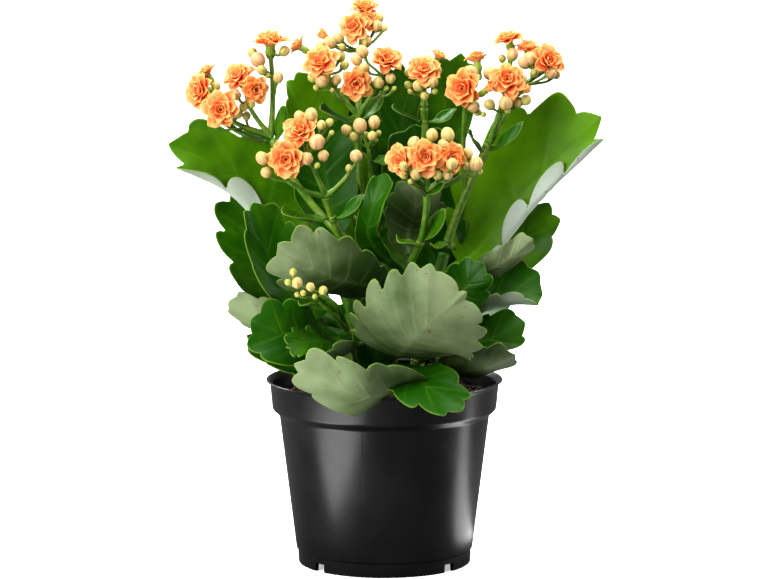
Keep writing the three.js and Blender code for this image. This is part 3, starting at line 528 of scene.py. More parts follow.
leaves = {
    "leaf_front_left": dict(
        stem="centre", at=0.15, through=[[9, -49, 99], [-12, -66, 97], [-44, -68, 112]],
        face=[[0.2, 0.6, 0.9], [0.1, 1, 0.4]], width=[19, 17], cup=[0.3, 0.25], lobes=[6, 0.09], tone=0.5),
    "leaf_front_right": dict(
        stem="centre", at=0.3, through=[[6, -40, 105], [18, -58, 100], [38, -74, 90]],
        face=[[0.2, -0.5, 1], [0.1, -0.9, 1]], width=[17, 17], cup=[0.5, 0.1], lobes=[5, 0.12], tone=0.1),
    "leaf_fan": dict(
        stem="centre", at=0.42, through=[[7, -46, 113], [17, -64, 127], [40, -65, 147]],
        face=[[0.1, 0.3, 1], [0.05, 1, 0.1]], width=[36, 35], cup=[0.55, 0.7], lobes=[11, 0.13], tone=0.5),
    "leaf_spoon": dict(
        stem="centre", at=0.8, through=[[-11, -40, 148], [-29, -55, 155], [-52, -60, 170]],
        face=[[-0.1, 0.8, 0.8], [0.2, 1, 0.3]], width=[22, 27], cup=[0.7, 0.6], lobes=[6, 0.15], tone=0.25),
    "leaf_upright": dict(
        stem="centre", at=0.95, through=[[-7, -32, 168], [-6, -38, 185], [1, -36, 202]],
        face=[[-0.3, -1, 0.2], [-0.6, -1, 0.2]], width=[7, 9], cup=[1.2, 0.8], lobes=[4, 0.1], tone=0.3),
    "leaf_small_pale": dict(
        stem="left", at=0.2, through=[[-14, -30, 116], [-19, -44, 114], [-34, -56, 108]],
        face=[[0.1, 0.4, 1], [0.2, 0.9, 0.5]], width=[9, 9], cup=[0.5, 0.5], lobes=[5, 0.12], tone=0.5),
    "leaf_serrated": dict(
        stem="left", at=0.35, through=[[-26, -40, 118], [-36, -52, 120], [-48, -60, 119]],
        face=[[0.2, -0.8, 1], [0.1, -1, 0.9]], width=[11, 10], cup=[0.3, 0.2], lobes=[9, 0.14], tone=0.35),
    "leaf_left_low": dict(
        stem="left", at=0.45, through=[[-30, -30, 118], [-48, -42, 122], [-66, -44, 130]],
        face=[[0.1, -1, 0.7], [0.2, -1, 0.5]], width=[19, 19], cup=[0.5, 0.3], lobes=[5, 0.1], tone=0.2),
    "leaf_left_under": dict(
        stem="left", at=0.12, through=[[-32, -14, 102], [-50, -19, 106], [-69, -22, 119]],
        face=[[0.3, -0.6, 1], [0.5, -0.8, 1]], width=[12, 12], cup=[0.5, 0.4], lobes=[5, 0.12], tone=0.2),
    "leaf_left_pale": dict(
        stem="left", at=0.32, through=[[-38, -10, 120], [-58, -18, 126], [-78, -20, 136]],
        face=[[0.2, 0.8, 0.8], [0.3, 1, 0.4]], width=[12, 11], cup=[0.6, 0.5], lobes=[5, 0.08], tone=0.5),
    "leaf_left_side": dict(
        stem="left", at=0.5, through=[[-46, 2, 130], [-61, 0, 158], [-76, -2, 192]],
        face=[[0.3, -1, 0.3], [0.3, -1, 0.1]], width=[22, 14], cup=[0.4, 0.4], lobes=[6, 0.14], tone=0.35),
    "leaf_left_inner": dict(
        stem="left", at=0.62, through=[[-41, -17, 135], [-56, -24, 155], [-65, -22, 186]],
        face=[[0.6, -1, 0.3], [0.6, -1, 0.1]], width=[13, 20], cup=[0.5, 0.5], tone=0.35),
    "leaf_left_high": dict(
        stem="left", at=0.9, through=[[-47, 0, 171], [-73, -4, 197], [-108, -8, 214]],
        face=[[0.1, -1, 0.3], [0.1, -1, 0.6]], width=[22, 26], cup=[0.4, 0.2], lobes=[4, 0.2],
        curl=(-1, 0.5, 0.42, 2.9), tone=0.65, bloom=0.8),
    "leaf_back_left": dict(
        stem="back", at=0.6, through=[[-24, 26, 180], [-36, 32, 215], [-44, 32, 247]],
        face=[[0.2, -1, 0.1]] * 2, width=[12, 24], tone=0.85),
    "leaf_back_centre": dict(
        stem="back", at=0.75, through=[[-6, 34, 185], [-6, 40, 215], [-9, 42, 241]], width=[22, 22],
        tone=0.2),
    "leaf_back_mid": dict(
        stem="back", at=0.85, through=[[6, 22, 185], [9, 27, 220], [8, 28, 252]], width=[13, 13], tone=0.3),
    "leaf_back_right": dict(
        stem="right", at=0.75, through=[[24, 18, 180], [31, 24, 218], [39, 26, 257]], width=[16, 13],
        lobes=[5, 0.12], tone=0.4),
    "leaf_right_big": dict(
        stem="right", at=0.8, through=[[50, 5, 163], [74, 4, 192], [109, 0, 227]], face=[[-0.1, -1, 0.3]] * 2,
        width=[38, 19], cup=[0.4, 0.3], lobes=[5, 0.2], curl=(1, 0.6, 0.5, 3.0), tone=1.05, bloom=1),
    "leaf_right_mid": dict(
        stem="right", at=0.78, through=[[46, -20, 150], [60, -25, 157], [74, -24, 168]],
        face=[[0, 1, 0.3]] * 2, width=[6, 8], cup=[0.5, 0.5], lobes=[5, 0.08], tone=0.5),
    "leaf_right_outer": dict(
        stem="right", at=0.55, through=[[52, 16, 142], [68, 20, 160], [84, 22, 181]],
        face=[[-0.2, -1, 0.4]] * 2, width=[14, 17], lobes=[5, 0.14], tone=0.6),
    "leaf_right_cupped": dict(
        stem="right", at=0.5, through=[[44, -14, 134], [61, -20, 140], [79, -22, 140]],
        face=[[0, -0.9, 0.7]] * 2, width=[18, 15], cup=[0.6, 0.6], lobes=[5, 0.08], curl=(1, 0.7, 0.3, 2.0),
        tone=0.3, bloom=0.4),
    "leaf_right_round": dict(
        stem="centre", at=0.72, through=[[30, -28, 138], [40, -33, 145], [49, -34, 157]],
        face=[[-0.1, -1, 0.4]] * 2, width=[13, 13], lobes=[5, 0.13], tone=0.25),
    "leaf_right_low": dict(
        stem="right", at=0.25, through=[[36, -20, 112], [52, -29, 118], [70, -30, 127]],
        face=[[0, -1, 0.7]] * 2, width=[13, 12], cup=[0.4, 0.2], lobes=[4, 0.12], tone=0.35),
    "leaf_right_bottom": dict(
        stem="right", at=0.12, through=[[30, -22, 101], [46, -34, 104], [65, -38, 112]],
        face=[[0, 0.6, 1], [0, 0.8, 1]], width=[15, 15], cup=[0.6, 0.4], lobes=[5, 0.1], tone=0.2),
    "leaf_centre_dark": dict(
        stem="centre", at=0.98, through=[[12, -12, 168], [15, -14, 180], [17, -16, 197]],
        face=[[0, 1, 0.2]] * 2, width=[16, 15], cup=[0.4, 0.4], lobes=[5, 0.1], tone=0.1),
    "leaf_inner_left": dict(
        stem="left", at=0.97, through=[[-27, 2, 178], [-31, 8, 202], [-32, 10, 226]], width=[18, 18],
        cup=[0.4, 0.4], tone=0.2),
    "leaf_inner_right": dict(
        stem="right", at=0.55, through=[[23, 8, 158], [20, 12, 185], [15, 12, 222]], width=[22, 22],
        cup=[0.4, 0.4], tone=0.2),
    "leaf_inner_low": dict(
        stem="centre", at=0.2, through=[[-3, -27, 105], [-5, -33, 122], [-4, -34, 141]],
        face=[[0, -1, 0.3]] * 2, width=[11, 22], tone=0.1),
    "leaf_rear_left": dict(
        stem="back", at=0.35, through=[[-34, 34, 118], [-54, 42, 132], [-66, 46, 158]],
        face=[[0, -0.5, 1], [0.9, -0.4, 0.3]], width=[24, 24], cup=[0.4, 0.3], lobes=[6, 0.12], tone=0.4),
    "leaf_rear_mid": dict(
        stem="back", at=0.15, through=[[4, 36, 110], [8, 52, 132], [12, 66, 162]],
        face=[[0, -0.6, 1], [0, -1, 0.5]], width=[33, 33], cup=[0.4, 0.3], tone=0.4),
    "leaf_rear_right": dict(
        stem="right", at=0.35, through=[[36, 34, 116], [56, 44, 130], [68, 48, 156]],
        face=[[0, -0.5, 1], [-0.9, -0.4, 0.3]], width=[24, 22], cup=[0.4, 0.3], lobes=[6, 0.12], tone=0.35),
    "leaf_rear_low": dict(
        stem="back", at=0.1, through=[[-4, 44, 104], [0, 62, 98], [2, 75, 87]],
        face=[[0, -0.5, 1], [0, -0.3, 1]], width=[35, 35], cup=[0.05, 0.1], tone=0.4),
    "leaf_rear_tall": dict(
        stem="back", at=0.5, through=[[2, 48, 155], [4, 60, 185], [1, 66, 213]],
        face=[[0, -1, 0.6], [0, -1, 0.2]], width=[23, 23], cup=[0.4, 0.3], lobes=[6, 0.12], tone=0.4),
}

leafForm = {
    "thick": 1.7, "edgeThick": 0.7, "stalkThick": 2.6, "stalkHalf": 2.2,
    "stalkShare": 0.16, "ribShare": 0.86, "stalkRows": 0.14,
    "rows": 96, "columns": 22, "groove": 0.45, "ribHeight": 0.55, "veinHeight": 0.22,
    "rollStart": 0.38, "rollSpan": 0.25, "wave": 1.2, "bendSteps": 16,
}
leafMarks = ["vein", "edge", "under", "along", "bloom", "tone"]


def leafPoint(leaf, path, side, q, r, lift, mood):
    # q: stalk foot to tip; r: midrib to margin; lift: height over the middle surface
    f = leafForm | leaf["form"]
    count, depth = leaf["lobes"]
    s = np.clip((q - f["stalkRows"]) / (1 - f["stalkRows"]), 0, 1)
    blade = 1 - f["stalkShare"]
    onStalk = q < f["stalkRows"]
    stalkT = f["stalkShare"] * q / f["stalkRows"]
    tEdge = np.where(onStalk, stalkT, f["stalkShare"] + blade * ((1 - np.cos(math.pi * s)) / 2)**0.85)
    tRib = np.where(onStalk, stalkT, f["stalkShare"] + blade * f["ribShare"] * s**1.15)
    full = np.clip(np.sin(math.pi * s), 0, None)**np.where(s < 0.5, 1.15, 0.75)
    bent = s + mood["shift"] * np.sin(2 * math.pi * s + mood["phase"] + side) * np.sin(math.pi * s)
    tooth = (count * bent + 0.5) % 1
    lobe = np.sin(math.pi * tooth**1.3)**0.55
    uneven = 1 + 0.35 * np.sin(5.3 * bent * count + mood["phase"] * side)
    cut = 1 - 1.6 * depth * uneven * (1 - lobe) * np.clip((s - 0.12) / 0.2, 0, 1)
    width = leaf["width"][0 if side < 0 else 1]
    taper = np.where(s > 0.5, np.minimum(1, (1 - s) * 8), 1)
    half = (f["stalkHalf"] * (1 - full) + width * full) * taper
    t = tRib + (tEdge - tRib) * cut * r
    out = half * cut * r
    place, along = smoothCurve(path, t)
    face = np.array(leaf["face"], float)
    up = face[0] + (face[1] - face[0]) * np.clip(t, 0, 1)[..., None]
    across = unit(np.cross(along, up))
    normal = unit(np.cross(across, along))
    fold = leaf["cup"][0] + (leaf["cup"][1] - leaf["cup"][0]) * t
    roll = 0 * t
    if leaf["curl"] and leaf["curl"][0] == side:
        roll = leaf["curl"][3] * np.exp(-((t - leaf["curl"][1]) / leaf["curl"][2])**2)

    def lean(u):
        ease = np.clip((u - f["rollStart"]) / f["rollSpan"], 0, 1)
        return fold * u + roll * ease * ease * (3 - 2 * ease)

    steps = f["bendSteps"]
    x, z = 0 * out, 0 * out
    for k in range(steps):
        angle = lean(out / width * (k + 0.5) / steps)
        x = x + np.cos(angle) * out / steps
        z = z + np.sin(angle) * out / steps
    tilt = lean(out / width)
    wave = f["wave"] * np.sin(math.pi * count * s + 1.3 * side)
    wave = wave + mood["wave"] * np.sin(2 * math.pi * 1.6 * s + mood["phase"] * (2 + side))
    z = z + wave * r * r * np.clip(s * 4, 0, 1) * np.clip((1 - s) * 6, 0, 1)
    z = z + mood["sway"] * np.sin(2 * math.pi * s + mood["phase"]) * np.sin(math.pi * s)
    point = place + across * (side * (x - lift * np.sin(tilt)))[..., None]
    return point + normal * (z + lift * np.cos(tilt))[..., None], s, out, bent


def leafShell(leaf, path, mood):
    # a ring of points goes round each row: upper side left to right, rim, lower side back, rim
    f = leafForm | leaf["form"]
    q = np.concatenate([np.linspace(0, f["stalkRows"], 7)[:-1],
                        f["stalkRows"] + (1 - f["stalkRows"]) * np.linspace(0, 1, f["rows"])])
    r = 1 - (1 - np.linspace(0, 1, f["columns"]))**1.25
    qs, rs = np.meshgrid(q, r, indexing="ij")
    stalky = np.clip(1 - (qs - 0.08) / 0.12, 0, 1)
    sheets = {}
    for side in (-1, 1):
        _, s, out, bent = leafPoint(leaf, path, side, qs, rs, 0, mood)
        rib = np.exp(-(out / 1.1)**2) * np.clip(1.15 - s, 0, 1) * (s > 0)
        count = leaf["lobes"][0]
        nearest = np.abs(count * bent - np.round(count * bent))
        vein = np.exp(-(nearest / 0.07)**2) * np.clip(1.1 - rs, 0, 1)
        vein = vein * np.clip(s * 6, 0, 1) * np.clip((1 - s) * 5, 0, 1)
        body = (f["thick"] * (1 - rs**3) + f["edgeThick"] * rs**3) / 2
        stalkBody = f["stalkThick"] / 2 * np.sqrt(1 - 0.8 * rs * rs)
        body = body * (1 - stalky) + stalkBody * stalky
        top = body - f["groove"] * rib - f["veinHeight"] * vein
        low = -body - f["ribHeight"] * rib - f["veinHeight"] * vein
        upper, *_ = leafPoint(leaf, path, side, qs, rs, top, mood)
        lower, *_ = leafPoint(leaf, path, side, qs, rs, low, mood)
        rim, *_ = leafPoint(leaf, path, side, q, np.full_like(q, 1.012), 0, mood)
        rolled = 0 * rs
        if leaf["curl"] and leaf["curl"][0] == side:
            rolled = np.exp(-((qs - leaf["curl"][1]) / leaf["curl"][2])**2)
            rolled = rolled * np.clip((rs - 0.3) / 0.3, 0, 1)
        sheets[side] = (upper, lower, rim, np.maximum(rib, vein * 0.8), rolled)

    def across(kind, first):  # both halves of a sheet, from the margin at side first
        return np.concatenate([sheets[first][kind][:, ::-1], sheets[-first][kind][:, 1:]], 1)

    ring = np.concatenate([across(0, -1), sheets[1][2][:, None], across(1, 1), sheets[-1][2][:, None]], 1)
    nothing = np.zeros((len(q), 1))
    # whitening of the underside: faint all over as a waxy bloom, strong on the rolled part of the margin as a
    # painted highlight
    bloom = leaf["bloom"] * (0.15 + 0.85 * across(4, 1))
    bloom = np.concatenate([0 * bloom, nothing, bloom, nothing], 1)
    veins = np.concatenate([across(3, -1), nothing, across(3, 1), nothing], 1)
    reach = np.concatenate([r[::-1], r[1:]])
    edges = np.concatenate([reach, [1.1], reach, [1.1]])
    edges = np.clip((edges - 0.975) / 0.03, 0, 1) * np.clip((q - 0.12) / 0.05, 0, 1)[:, None]
    count, total = len(reach), veins.shape[1]
    under = np.broadcast_to([0] * count + [0.5] + [1] * count + [0.5], veins.shape)
    faces = gridFaces(len(q), total, closed=True) + [tuple(range(total - 1, -1, -1))]
    # how far from the stalk; the skin uses it to paint shade on the underside near the stalk
    along = np.broadcast_to(q[:, None], veins.shape)
    marks = dict(vein=veins, edge=edges, under=under, along=along, bloom=bloom)
    return ring.reshape(-1, 3), faces, {name: values.ravel() for name, values in marks.items()}


def makeLeaf(name, leaf, index):
    rng = np.random.default_rng(100 + index)
    stem = mainStems["main_stem_" + leaf["stem"]][0]
    foot, _ = smoothCurve(stem, leaf["at"])
    mood = {"shift": rng.uniform(0.01, 0.025), "phase": rng.uniform(0, 6.28),
            "wave": rng.uniform(0.5, 1.3), "sway": rng.uniform(-0.8, 0.8)}
    path = [foot.tolist()] + leaf["through"]
    points, faces, marks = leafShell(leaf, path, mood)
    heap = Heap(leafMarks)
    heap.add(points, faces, tone=leaf["tone"], **marks)
    heap.piece("leaf" + titleOf(name, 1), leafSkin, node=name, slot="leaf", weld=0.002)


for index, (name, leaf) in enumerate(leaves.items()):
    makeLeaf(name, plainLeaf | leaf, index)
print("leaves made:", len(leaves))


# Flower stems: path, radius, bracts as (share along the stem, tip, width), and one side shoot.

flowerStems = {
    "flower_stem_left": dict(
        path=[[-20, -8, 166], [-34, -2, 180], [-46, -2, 196], [-56, -4, 216]], radius=1.9,
        bracts=[(0.98, [-81, -8, 226], 4), (0.96, [-50, -6, 233], 3)]),
    "flower_stem_top": dict(
        path=[[-10, 10, 170], [-12, 4, 190], [-13, 0, 210], [-13, 0, 225]], radius=1.9,
        bracts=[(0.97, [-32, -4, 233], 5), (0.99, [0, -6, 239], 5)]),
    "flower_stem_front": dict(
        path=[[-20, -19, 166], [-24, -24, 174], [-27, -28, 182], [-29, -30, 189]], radius=1.9,
        bracts=[(0.55, [-51, -34, 184], 5), (0.5, [-10, -34, 191], 5.5)]),
    "flower_stem_centre": dict(
        path=[[13, -25, 156], [18, -31, 168], [20.5, -36, 182], [21, -38, 192.5]], radius=1.8,
        bracts=[(0.3, [30, -34, 184], 5), (0.3, [6, -38, 170], 5), (0.96, [12, -44, 199], 2.5),
                (0.96, [30, -44, 199], 2.5)]),
    "flower_stem_middle": dict(
        path=[[12, 2, 160], [17, 4, 190], [20, 2, 215], [20, 0, 231]], radius=1.7,
        bracts=[(0.85, [4, -6, 233], 4), (0.85, [36, -4, 231], 4)]),
    "flower_stem_right": dict(
        path=[[31, -7, 162], [37, -10, 180], [45, -12, 199], [52, -14, 214]], radius=2.1,
        bracts=[(0.9, [42, -20, 222], 1.8), (0.93, [69, -20, 226], 4.5), (0.06, [24, -20, 164], 4)],
        fork=[[41, -11, 190], [39.5, -13, 206], [39.5, -17, 222], [40, -21, 234.5]]),
    "flower_stem_rear_left": dict(
        path=[[-10, 20, 166], [-21, 32, 180], [-32, 38, 195], [-38, 40, 204]], radius=1.8,
        bracts=[(0.7, [-46, 42, 190], 5), (0.7, [-20, 50, 200], 5)]),
    "flower_stem_rear": dict(
        path=[[-4, 20, 168], [0, 38, 184], [3, 44, 200], [3, 46, 211]], radius=1.8,
        bracts=[(0.75, [-16, 50, 208], 5), (0.75, [20, 50, 206], 5)]),
    "flower_stem_rear_right": dict(
        path=[[34, 4, 160], [48, 24, 170], [62, 34, 180], [69, 38, 190]], radius=1.8,
        bracts=[(0.7, [52, 42, 188], 5), (0.7, [76, 44, 178], 5)]),
}


bractForm = {  # what differs from leafForm
    "thick": 1.1, "edgeThick": 0.5, "stalkThick": 1.6, "stalkHalf": 1.1,
    "rows": 22, "columns": 8, "groove": 0.25, "ribHeight": 0.3,
}


def addBracts(name, path, bracts, rng):  # small plain leaves that arch from a stem, as one piece
    heap = Heap(leafMarks)
    for at, tip, width in bracts:
        addBract(heap, smoothCurve(path, at)[0], tip, width, rng)
    heap.piece(name, leafSkin, slot="leaf", weld=0.002)


def addBract(heap, foot, tip, width, rng):
    foot, tip = np.array(foot, float), np.array(tip, float)
    rise = np.linalg.norm(tip - foot) * 0.12
    path = [foot * (1 - t) + tip * t - np.array([0, 0, rise * math.sin(math.pi * t)])
            for t in (0, 0.33, 0.67, 1)]
    shape = plainLeaf | dict(
        face=[[0, -0.4, 1]] * 2, width=[width] * 2, cup=[0.5, 0.4], lobes=[2, 0], form=bractForm)
    mood = {"shift": 0, "phase": rng.uniform(0, 6), "wave": 0.2, "sway": 0.1}
    points, faces, marks = leafShell(shape, path, mood)
    heap.add(points, faces, tone=rng.uniform(0.3, 0.6), **marks)


def makeFlowerStem(name, stem, index):
    rng = np.random.default_rng(300 + index)
    radius = stem["radius"]
    heap = Heap(["tone", "age"])
    radii = [radius * share for share in (1.1, 1, 0.9, 0.9, 1.15)]
    main = tubeGrid(stem["path"], radii, sides=16, steps=60, ridges=0.05)
    heap.add(*main, tone=rng.uniform(0.4, 0.6))
    if "fork" in stem:
        fork = tubeGrid(stem["fork"], [1.5, 1.2, 1.15, 1.3], sides=14, steps=50, ridges=0.04)
        heap.add(*fork, tone=0.5)
    for at in {b[0] for b in stem["bracts"]}:
        places, _ = smoothCurve(stem["path"], np.clip(np.array([at - 0.05, at, at + 0.05]), 0, 1))
        radii = [radius * share for share in (0.8, 1.25, 0.8)]
        heap.add(*tubeGrid(places, radii, sides=16, steps=8), tone=0.55)
    title = "stem" + titleOf(name, 2)
    heap.piece(title, stemSkin, node=name, slot="stem")
    addBracts(title + "Bracts", stem["path"], stem["bracts"], rng)


for index, (name, stem) in enumerate(flowerStems.items()):
    makeFlowerStem(name, stem, index)
print("flower stems made")


# Flower heads: hub, branches, flowers as (x, y, z, radius, facing), buds as (x, y, z, radius).

flowerHeads = {
    "flower_head_left": dict(
        hub=[-57, -4, 218],
        branches=[
            [[-62, -7, 224], [-67, -9, 232], [-69, -11, 239]],
            [[-66, -7, 221], [-75, -10, 225], [-83, -13, 232]],
            [[-56, -4, 232], [-56, -4, 246], [-57, -4, 259]]],
        flowers=[
            (-92, -12, 241, 9, -0.7, -0.7, 0.2), (-81, -20, 232, 9.5, -0.1, -1, 0.1),
            (-89, -4, 249, 6.5, -0.5, -0.1, 0.9), (-73, -10, 248, 8.5, -0.4, -0.6, 0.7),
            (-64, -16, 242, 7.5, 0.3, -0.9, -0.1), (-57, -4, 265, 9, 0, -0.25, 1)],
        buds=[
            (-84, -12, 243, 2.7), (-74, -14, 239, 3), (-70, -10, 233, 2.8), (-66, -12, 234, 2),
            (-73, -10, 229, 2.6), (-69, -8, 228, 2.5), (-76, -8, 233, 2.4), (-66, -2, 259, 2.8),
            (-63, -8, 256, 4.2), (-61, -10, 251, 2.8), (-53, -8, 247, 3), (-58, -8, 248, 1.6),
            (-50, -4, 260, 3), (-87, -12, 224, 1.6)]),
    "flower_head_top": dict(
        hub=[-13, 0, 227],
        branches=[
            [[-18, -2, 233], [-24, -5, 240], [-29, -6, 248]],
            [[-13, 2, 243], [-12, 4, 258], [-11, 6, 272]],
            [[-9, -4, 234], [-4, -7, 241], [-1, -8, 248]]],
        flowers=[
            (1, -10, 256, 8.5, 0.2, -0.7, 0.7), (-14, -18, 245, 8.5, 0.1, -1, -0.1),
            (-32, -10, 255, 9, -0.3, -0.8, 0.5), (-43, 4, 262, 6, -0.8, 0, 0.5),
            (-10, 8, 281, 7.5, 0.1, -0.4, 0.9), (-15, 0, 272, 8, -0.3, -0.9, 0.3),
            (-8, 2, 274, 6, 0.4, -0.7, 0.4)],
        buds=[
            (-30, 6, 267, 5), (-31, -12, 246, 4), (-24, -8, 246, 3), (-28, -12, 249, 1.8),
            (-36, -8, 247, 2.6), (-34, -8, 242, 1.8), (-22, -2, 257, 3), (-20, -6, 253, 2.5),
            (-32, 2, 262, 3), (-27, 0, 264, 3.4), (-23, 2, 266, 3.2), (-21, -2, 262, 2),
            (-20, 2, 273, 3), (-3, 6, 276, 3), (-4, 2, 272, 3.4), (0, 2, 271, 1.8),
            (-9, 0, 265, 3.2), (-11, -6, 260, 3.6), (-26, -10, 241, 1.3), (-14, -8, 256, 3.2),
            (-10, -10, 252, 3), (-3, -14, 245, 3.3), (3, -12, 247, 3), (1, -12, 242, 1.6),
            (5, -12, 242, 1.4), (-8, -12, 247, 2)]),
    "flower_head_bud": dict(
        hub=[-3, -12, 160],
        branches=[[[-5, -14, 180], [-6.5, -18, 198], [-8, -20, 213]]],
        buds=[
            (-18.7, -22, 222, 3), (-12, -24, 224.5, 3.9), (-5, -22, 226, 3.4), (-15, -24, 219, 2.5),
            (-6, -26, 219.5, 2.7), (-3, -22, 220.5, 1.7), (-4, -22, 217, 1.1), (-9, -18, 219, 2)],
        bracts=[(0.85, [4, -16, 208], 3)]),
    "flower_head_front": dict(
        hub=[-29, -30, 190],
        branches=[
            [[-32, -32, 197], [-35, -34, 204], [-38, -36, 211]],
            [[-37, -33, 192], [-46, -36, 197], [-54, -39, 204]],
            [[-25, -30, 193], [-20, -31, 198], [-15, -32, 205]]],
        flowers=[(-41, -36, 223, 9.5, -0.3, -0.8, 0.5), (-48, -44, 210, 10, -0.1, -1, -0.05)],
        buds=[
            (-36, -36, 231, 3.6), (-31, -38, 226, 2.6), (-27, -36, 227, 2.3), (-26, -36, 222, 1.6),
            (-33, -42, 218, 4.3), (-38, -44, 210, 3.6), (-30, -40, 211, 3.1), (-33, -42, 206.5, 1.8),
            (-60, -42, 210, 3.6), (-58, -42, 203, 3.1), (-42, -34, 230, 3), (-14, -32, 210, 3.6),
            (-17.5, -32, 204, 2.1)]),
    "flower_head_centre": dict(
        hub=[21, -38, 194],
        branches=[
            [[17, -40, 198], [13, -42, 202], [9, -42, 206]],
            [[21, -40, 198], [21, -42, 202], [21, -44, 206]],
            [[25, -40, 197], [29, -42, 201], [33, -42, 206]],
            [[29, -38, 196], [37, -38, 200], [44, -39, 205]]],
        flowers=[
            (8, -44, 209, 8.3, -0.5, -0.9, 0.1), (20.5, -48, 211, 9, 0, -1, 0.1),
            (33, -44, 210, 7.5, 0.5, -0.9, 0.1)],
        buds=[
            (14.5, -40, 217, 3.7), (23.5, -38, 221, 3.4), (31, -38, 221, 3.9), (9.5, -52, 207, 2.7),
            (15.5, -48, 203, 3.3), (9.5, -44, 202, 2.4), (13, -46, 199, 1.7), (26, -46, 202, 2.7),
            (31, -44, 202, 2.9), (29, -40, 216, 3.3), (33, -50, 208, 3.2), (36, -40, 214, 3),
            (41, -38, 212, 3), (45, -40, 207, 3.9), (40, -40, 206, 2.1), (47, -38, 203, 1.6)]),
    "flower_head_middle": dict(
        hub=[20, 0, 233],
        branches=[[[20, -1, 237], [20, -2, 241], [20, -4, 246]]],
        flowers=[(20, -6, 251, 8.5, 0, -0.8, 0.6), (27, 4, 257, 5, 0.5, 0, 0.8)],
        buds=[
            (17, -8, 243, 3.4), (24, -8, 245, 3.4), (20, -8, 238, 2.5), (12, -4, 243, 2.3),
            (13, -6, 240, 1.6), (26, 0, 250, 3.2), (25, -6, 240, 1.8), (12, -2, 249, 2.2)]),
    "flower_head_right": dict(
        hub=[53, -14, 216],
        branches=[
            [[55, -16, 223], [58, -18, 230], [60, -21, 239]],
            [[61, -10, 229], [69, -4, 242], [80, -3, 250]],
            [[57, -9, 229], [62, -3, 244], [63, 3, 259]]],
        flowers=[
            (61, -24, 247, 9, 0, -0.9, 0.4), (62, 4, 266, 7.5, -0.3, -0.2, 1),
            (72, 4, 261, 6.5, 0, -0.3, 0.9), (82, -4, 255, 9, 0.4, -0.8, 0.4)],
        buds=[
            (52, -18, 250, 3.5), (69, -24, 242, 4.6), (70, -22, 237, 3.2), (52, -26, 235, 3.2),
            (61, -24, 232, 1.8), (66, -22, 236, 3), (68, -20, 247, 3), (60, -26, 236, 4),
            (64, 0, 258, 3.4), (59, 2, 256, 2.2), (70, -2, 254, 3.4), (75, -4, 249, 2.6),
            (83, -6, 249, 3.2), (86, -2, 248, 2.4), (73, -2, 256, 4)]),
    "flower_head_right_inner": dict(
        hub=[40, -22, 236],
        branches=[[[42, -22, 240], [44, -20, 244], [45, -17, 249]]],
        flowers=[(39, -26, 243, 9.8, -0.4, -0.9, 0.1), (46, -6, 256, 6.5, -0.2, 0.2, 0.9)],
        buds=[
            (43, -20, 250, 4), (51, -28, 243, 5.3), (44, -24, 234, 3.6), (46, -22, 231, 2.3),
            (49, -24, 230, 1.6)]),
    "flower_head_young": dict(
        hub=[-19, -18, 122],
        branches=[
            [[-22, -36, 128], [-26, -46, 134], [-34, -57, 143]],
            [[-24, -48, 138], [-34, -58, 146], [-43, -60, 149]]],
        buds=[
            (-44.5, -60, 156, 2.1), (-42.5, -62, 151, 3), (-47, -60, 151, 1.9), (-36, -62, 149, 2.5),
            (-30, -60, 147, 2.5), (-42.5, -60, 145, 1.6), (-39.5, -62, 146, 1.7), (-34, -60, 144, 1.6)],
        bracts=[(0.95, [-42, -60, 141], 3)]),
    "flower_head_rear_left": dict(
        hub=[-38, 40, 206],
        flowers=[(-44, 46, 220, 9, -0.5, 0.6, 0.6), (-30, 50, 220, 8.5, 0.2, 0.8, 0.6)],
        buds=[
            (-36, 44, 226, 3.4), (-40, 52, 212, 3), (-48, 48, 210, 2.6), (-28, 48, 210, 2.4),
            (-34, 52, 212, 3.6)]),
    "flower_head_rear": dict(
        hub=[3, 46, 213],
        flowers=[
            (-5, 54, 226, 9, -0.3, 0.8, 0.6), (11, 54, 228, 9, 0.3, 0.8, 0.6),
            (3, 58, 216, 7.5, 0, 1, 0)],
        buds=[
            (3, 50, 234, 3.6), (-12, 54, 218, 3), (16, 54, 218, 3.2), (-4, 56, 210, 2.6),
            (10, 58, 210, 2.4)]),
    "flower_head_rear_right": dict(
        hub=[69, 38, 192],
        flowers=[(64, 46, 204, 9, -0.3, 0.8, 0.6), (78, 46, 201, 8.5, 0.4, 0.8, 0.5)],
        buds=[
            (71, 44, 209, 3.4), (59, 48, 196, 3), (70, 52, 195, 2.8), (79, 48, 193, 2.6)]),
}

# petal whorls, outside to heart: count, length, slope at foot and tip (degrees), half width
whorls = [
    (6, 1.04, 36, -14, 0.42),
    (6, 0.98, 50, 6, 0.43),
    (5, 0.86, 62, 30, 0.41),
    (4, 0.64, 74, 54, 0.38),
    (3, 0.40, 82, 78, 0.34),
]
petalForm = {
    "rows": (0, 0.14, 0.3, 0.46, 0.62, 0.76, 0.88, 0.96, 1), "columns": 7,
    "thick": 0.022, "ruffle": 0.05, "cup": 0.42,
    "throat": (  # outline of the green body under the petals: radius, height
        (0, -0.98), (0.12, -0.98), (0.25, -0.88), (0.31, -0.62), (0.25, -0.4), (0.3, -0.22),
        (0.11, -0.16), (0.08, 0), (0, 0.05)),
    "cupLine": ((0, -0.25), (0.35, -0.2), (0.62, 0.1), (0.4, 0.3), (0, 0.3)),
}
budForm = {"rows": 15, "columns": 35, "tall": (1.06, 1.2), "petals": 5, "twist": 1.2, "seam": 0.13}
stalk = {"branch": 1.2, "pedicel": 0.62, "sepals": 4, "budScale": 0.88, "openingBud": 4.5}


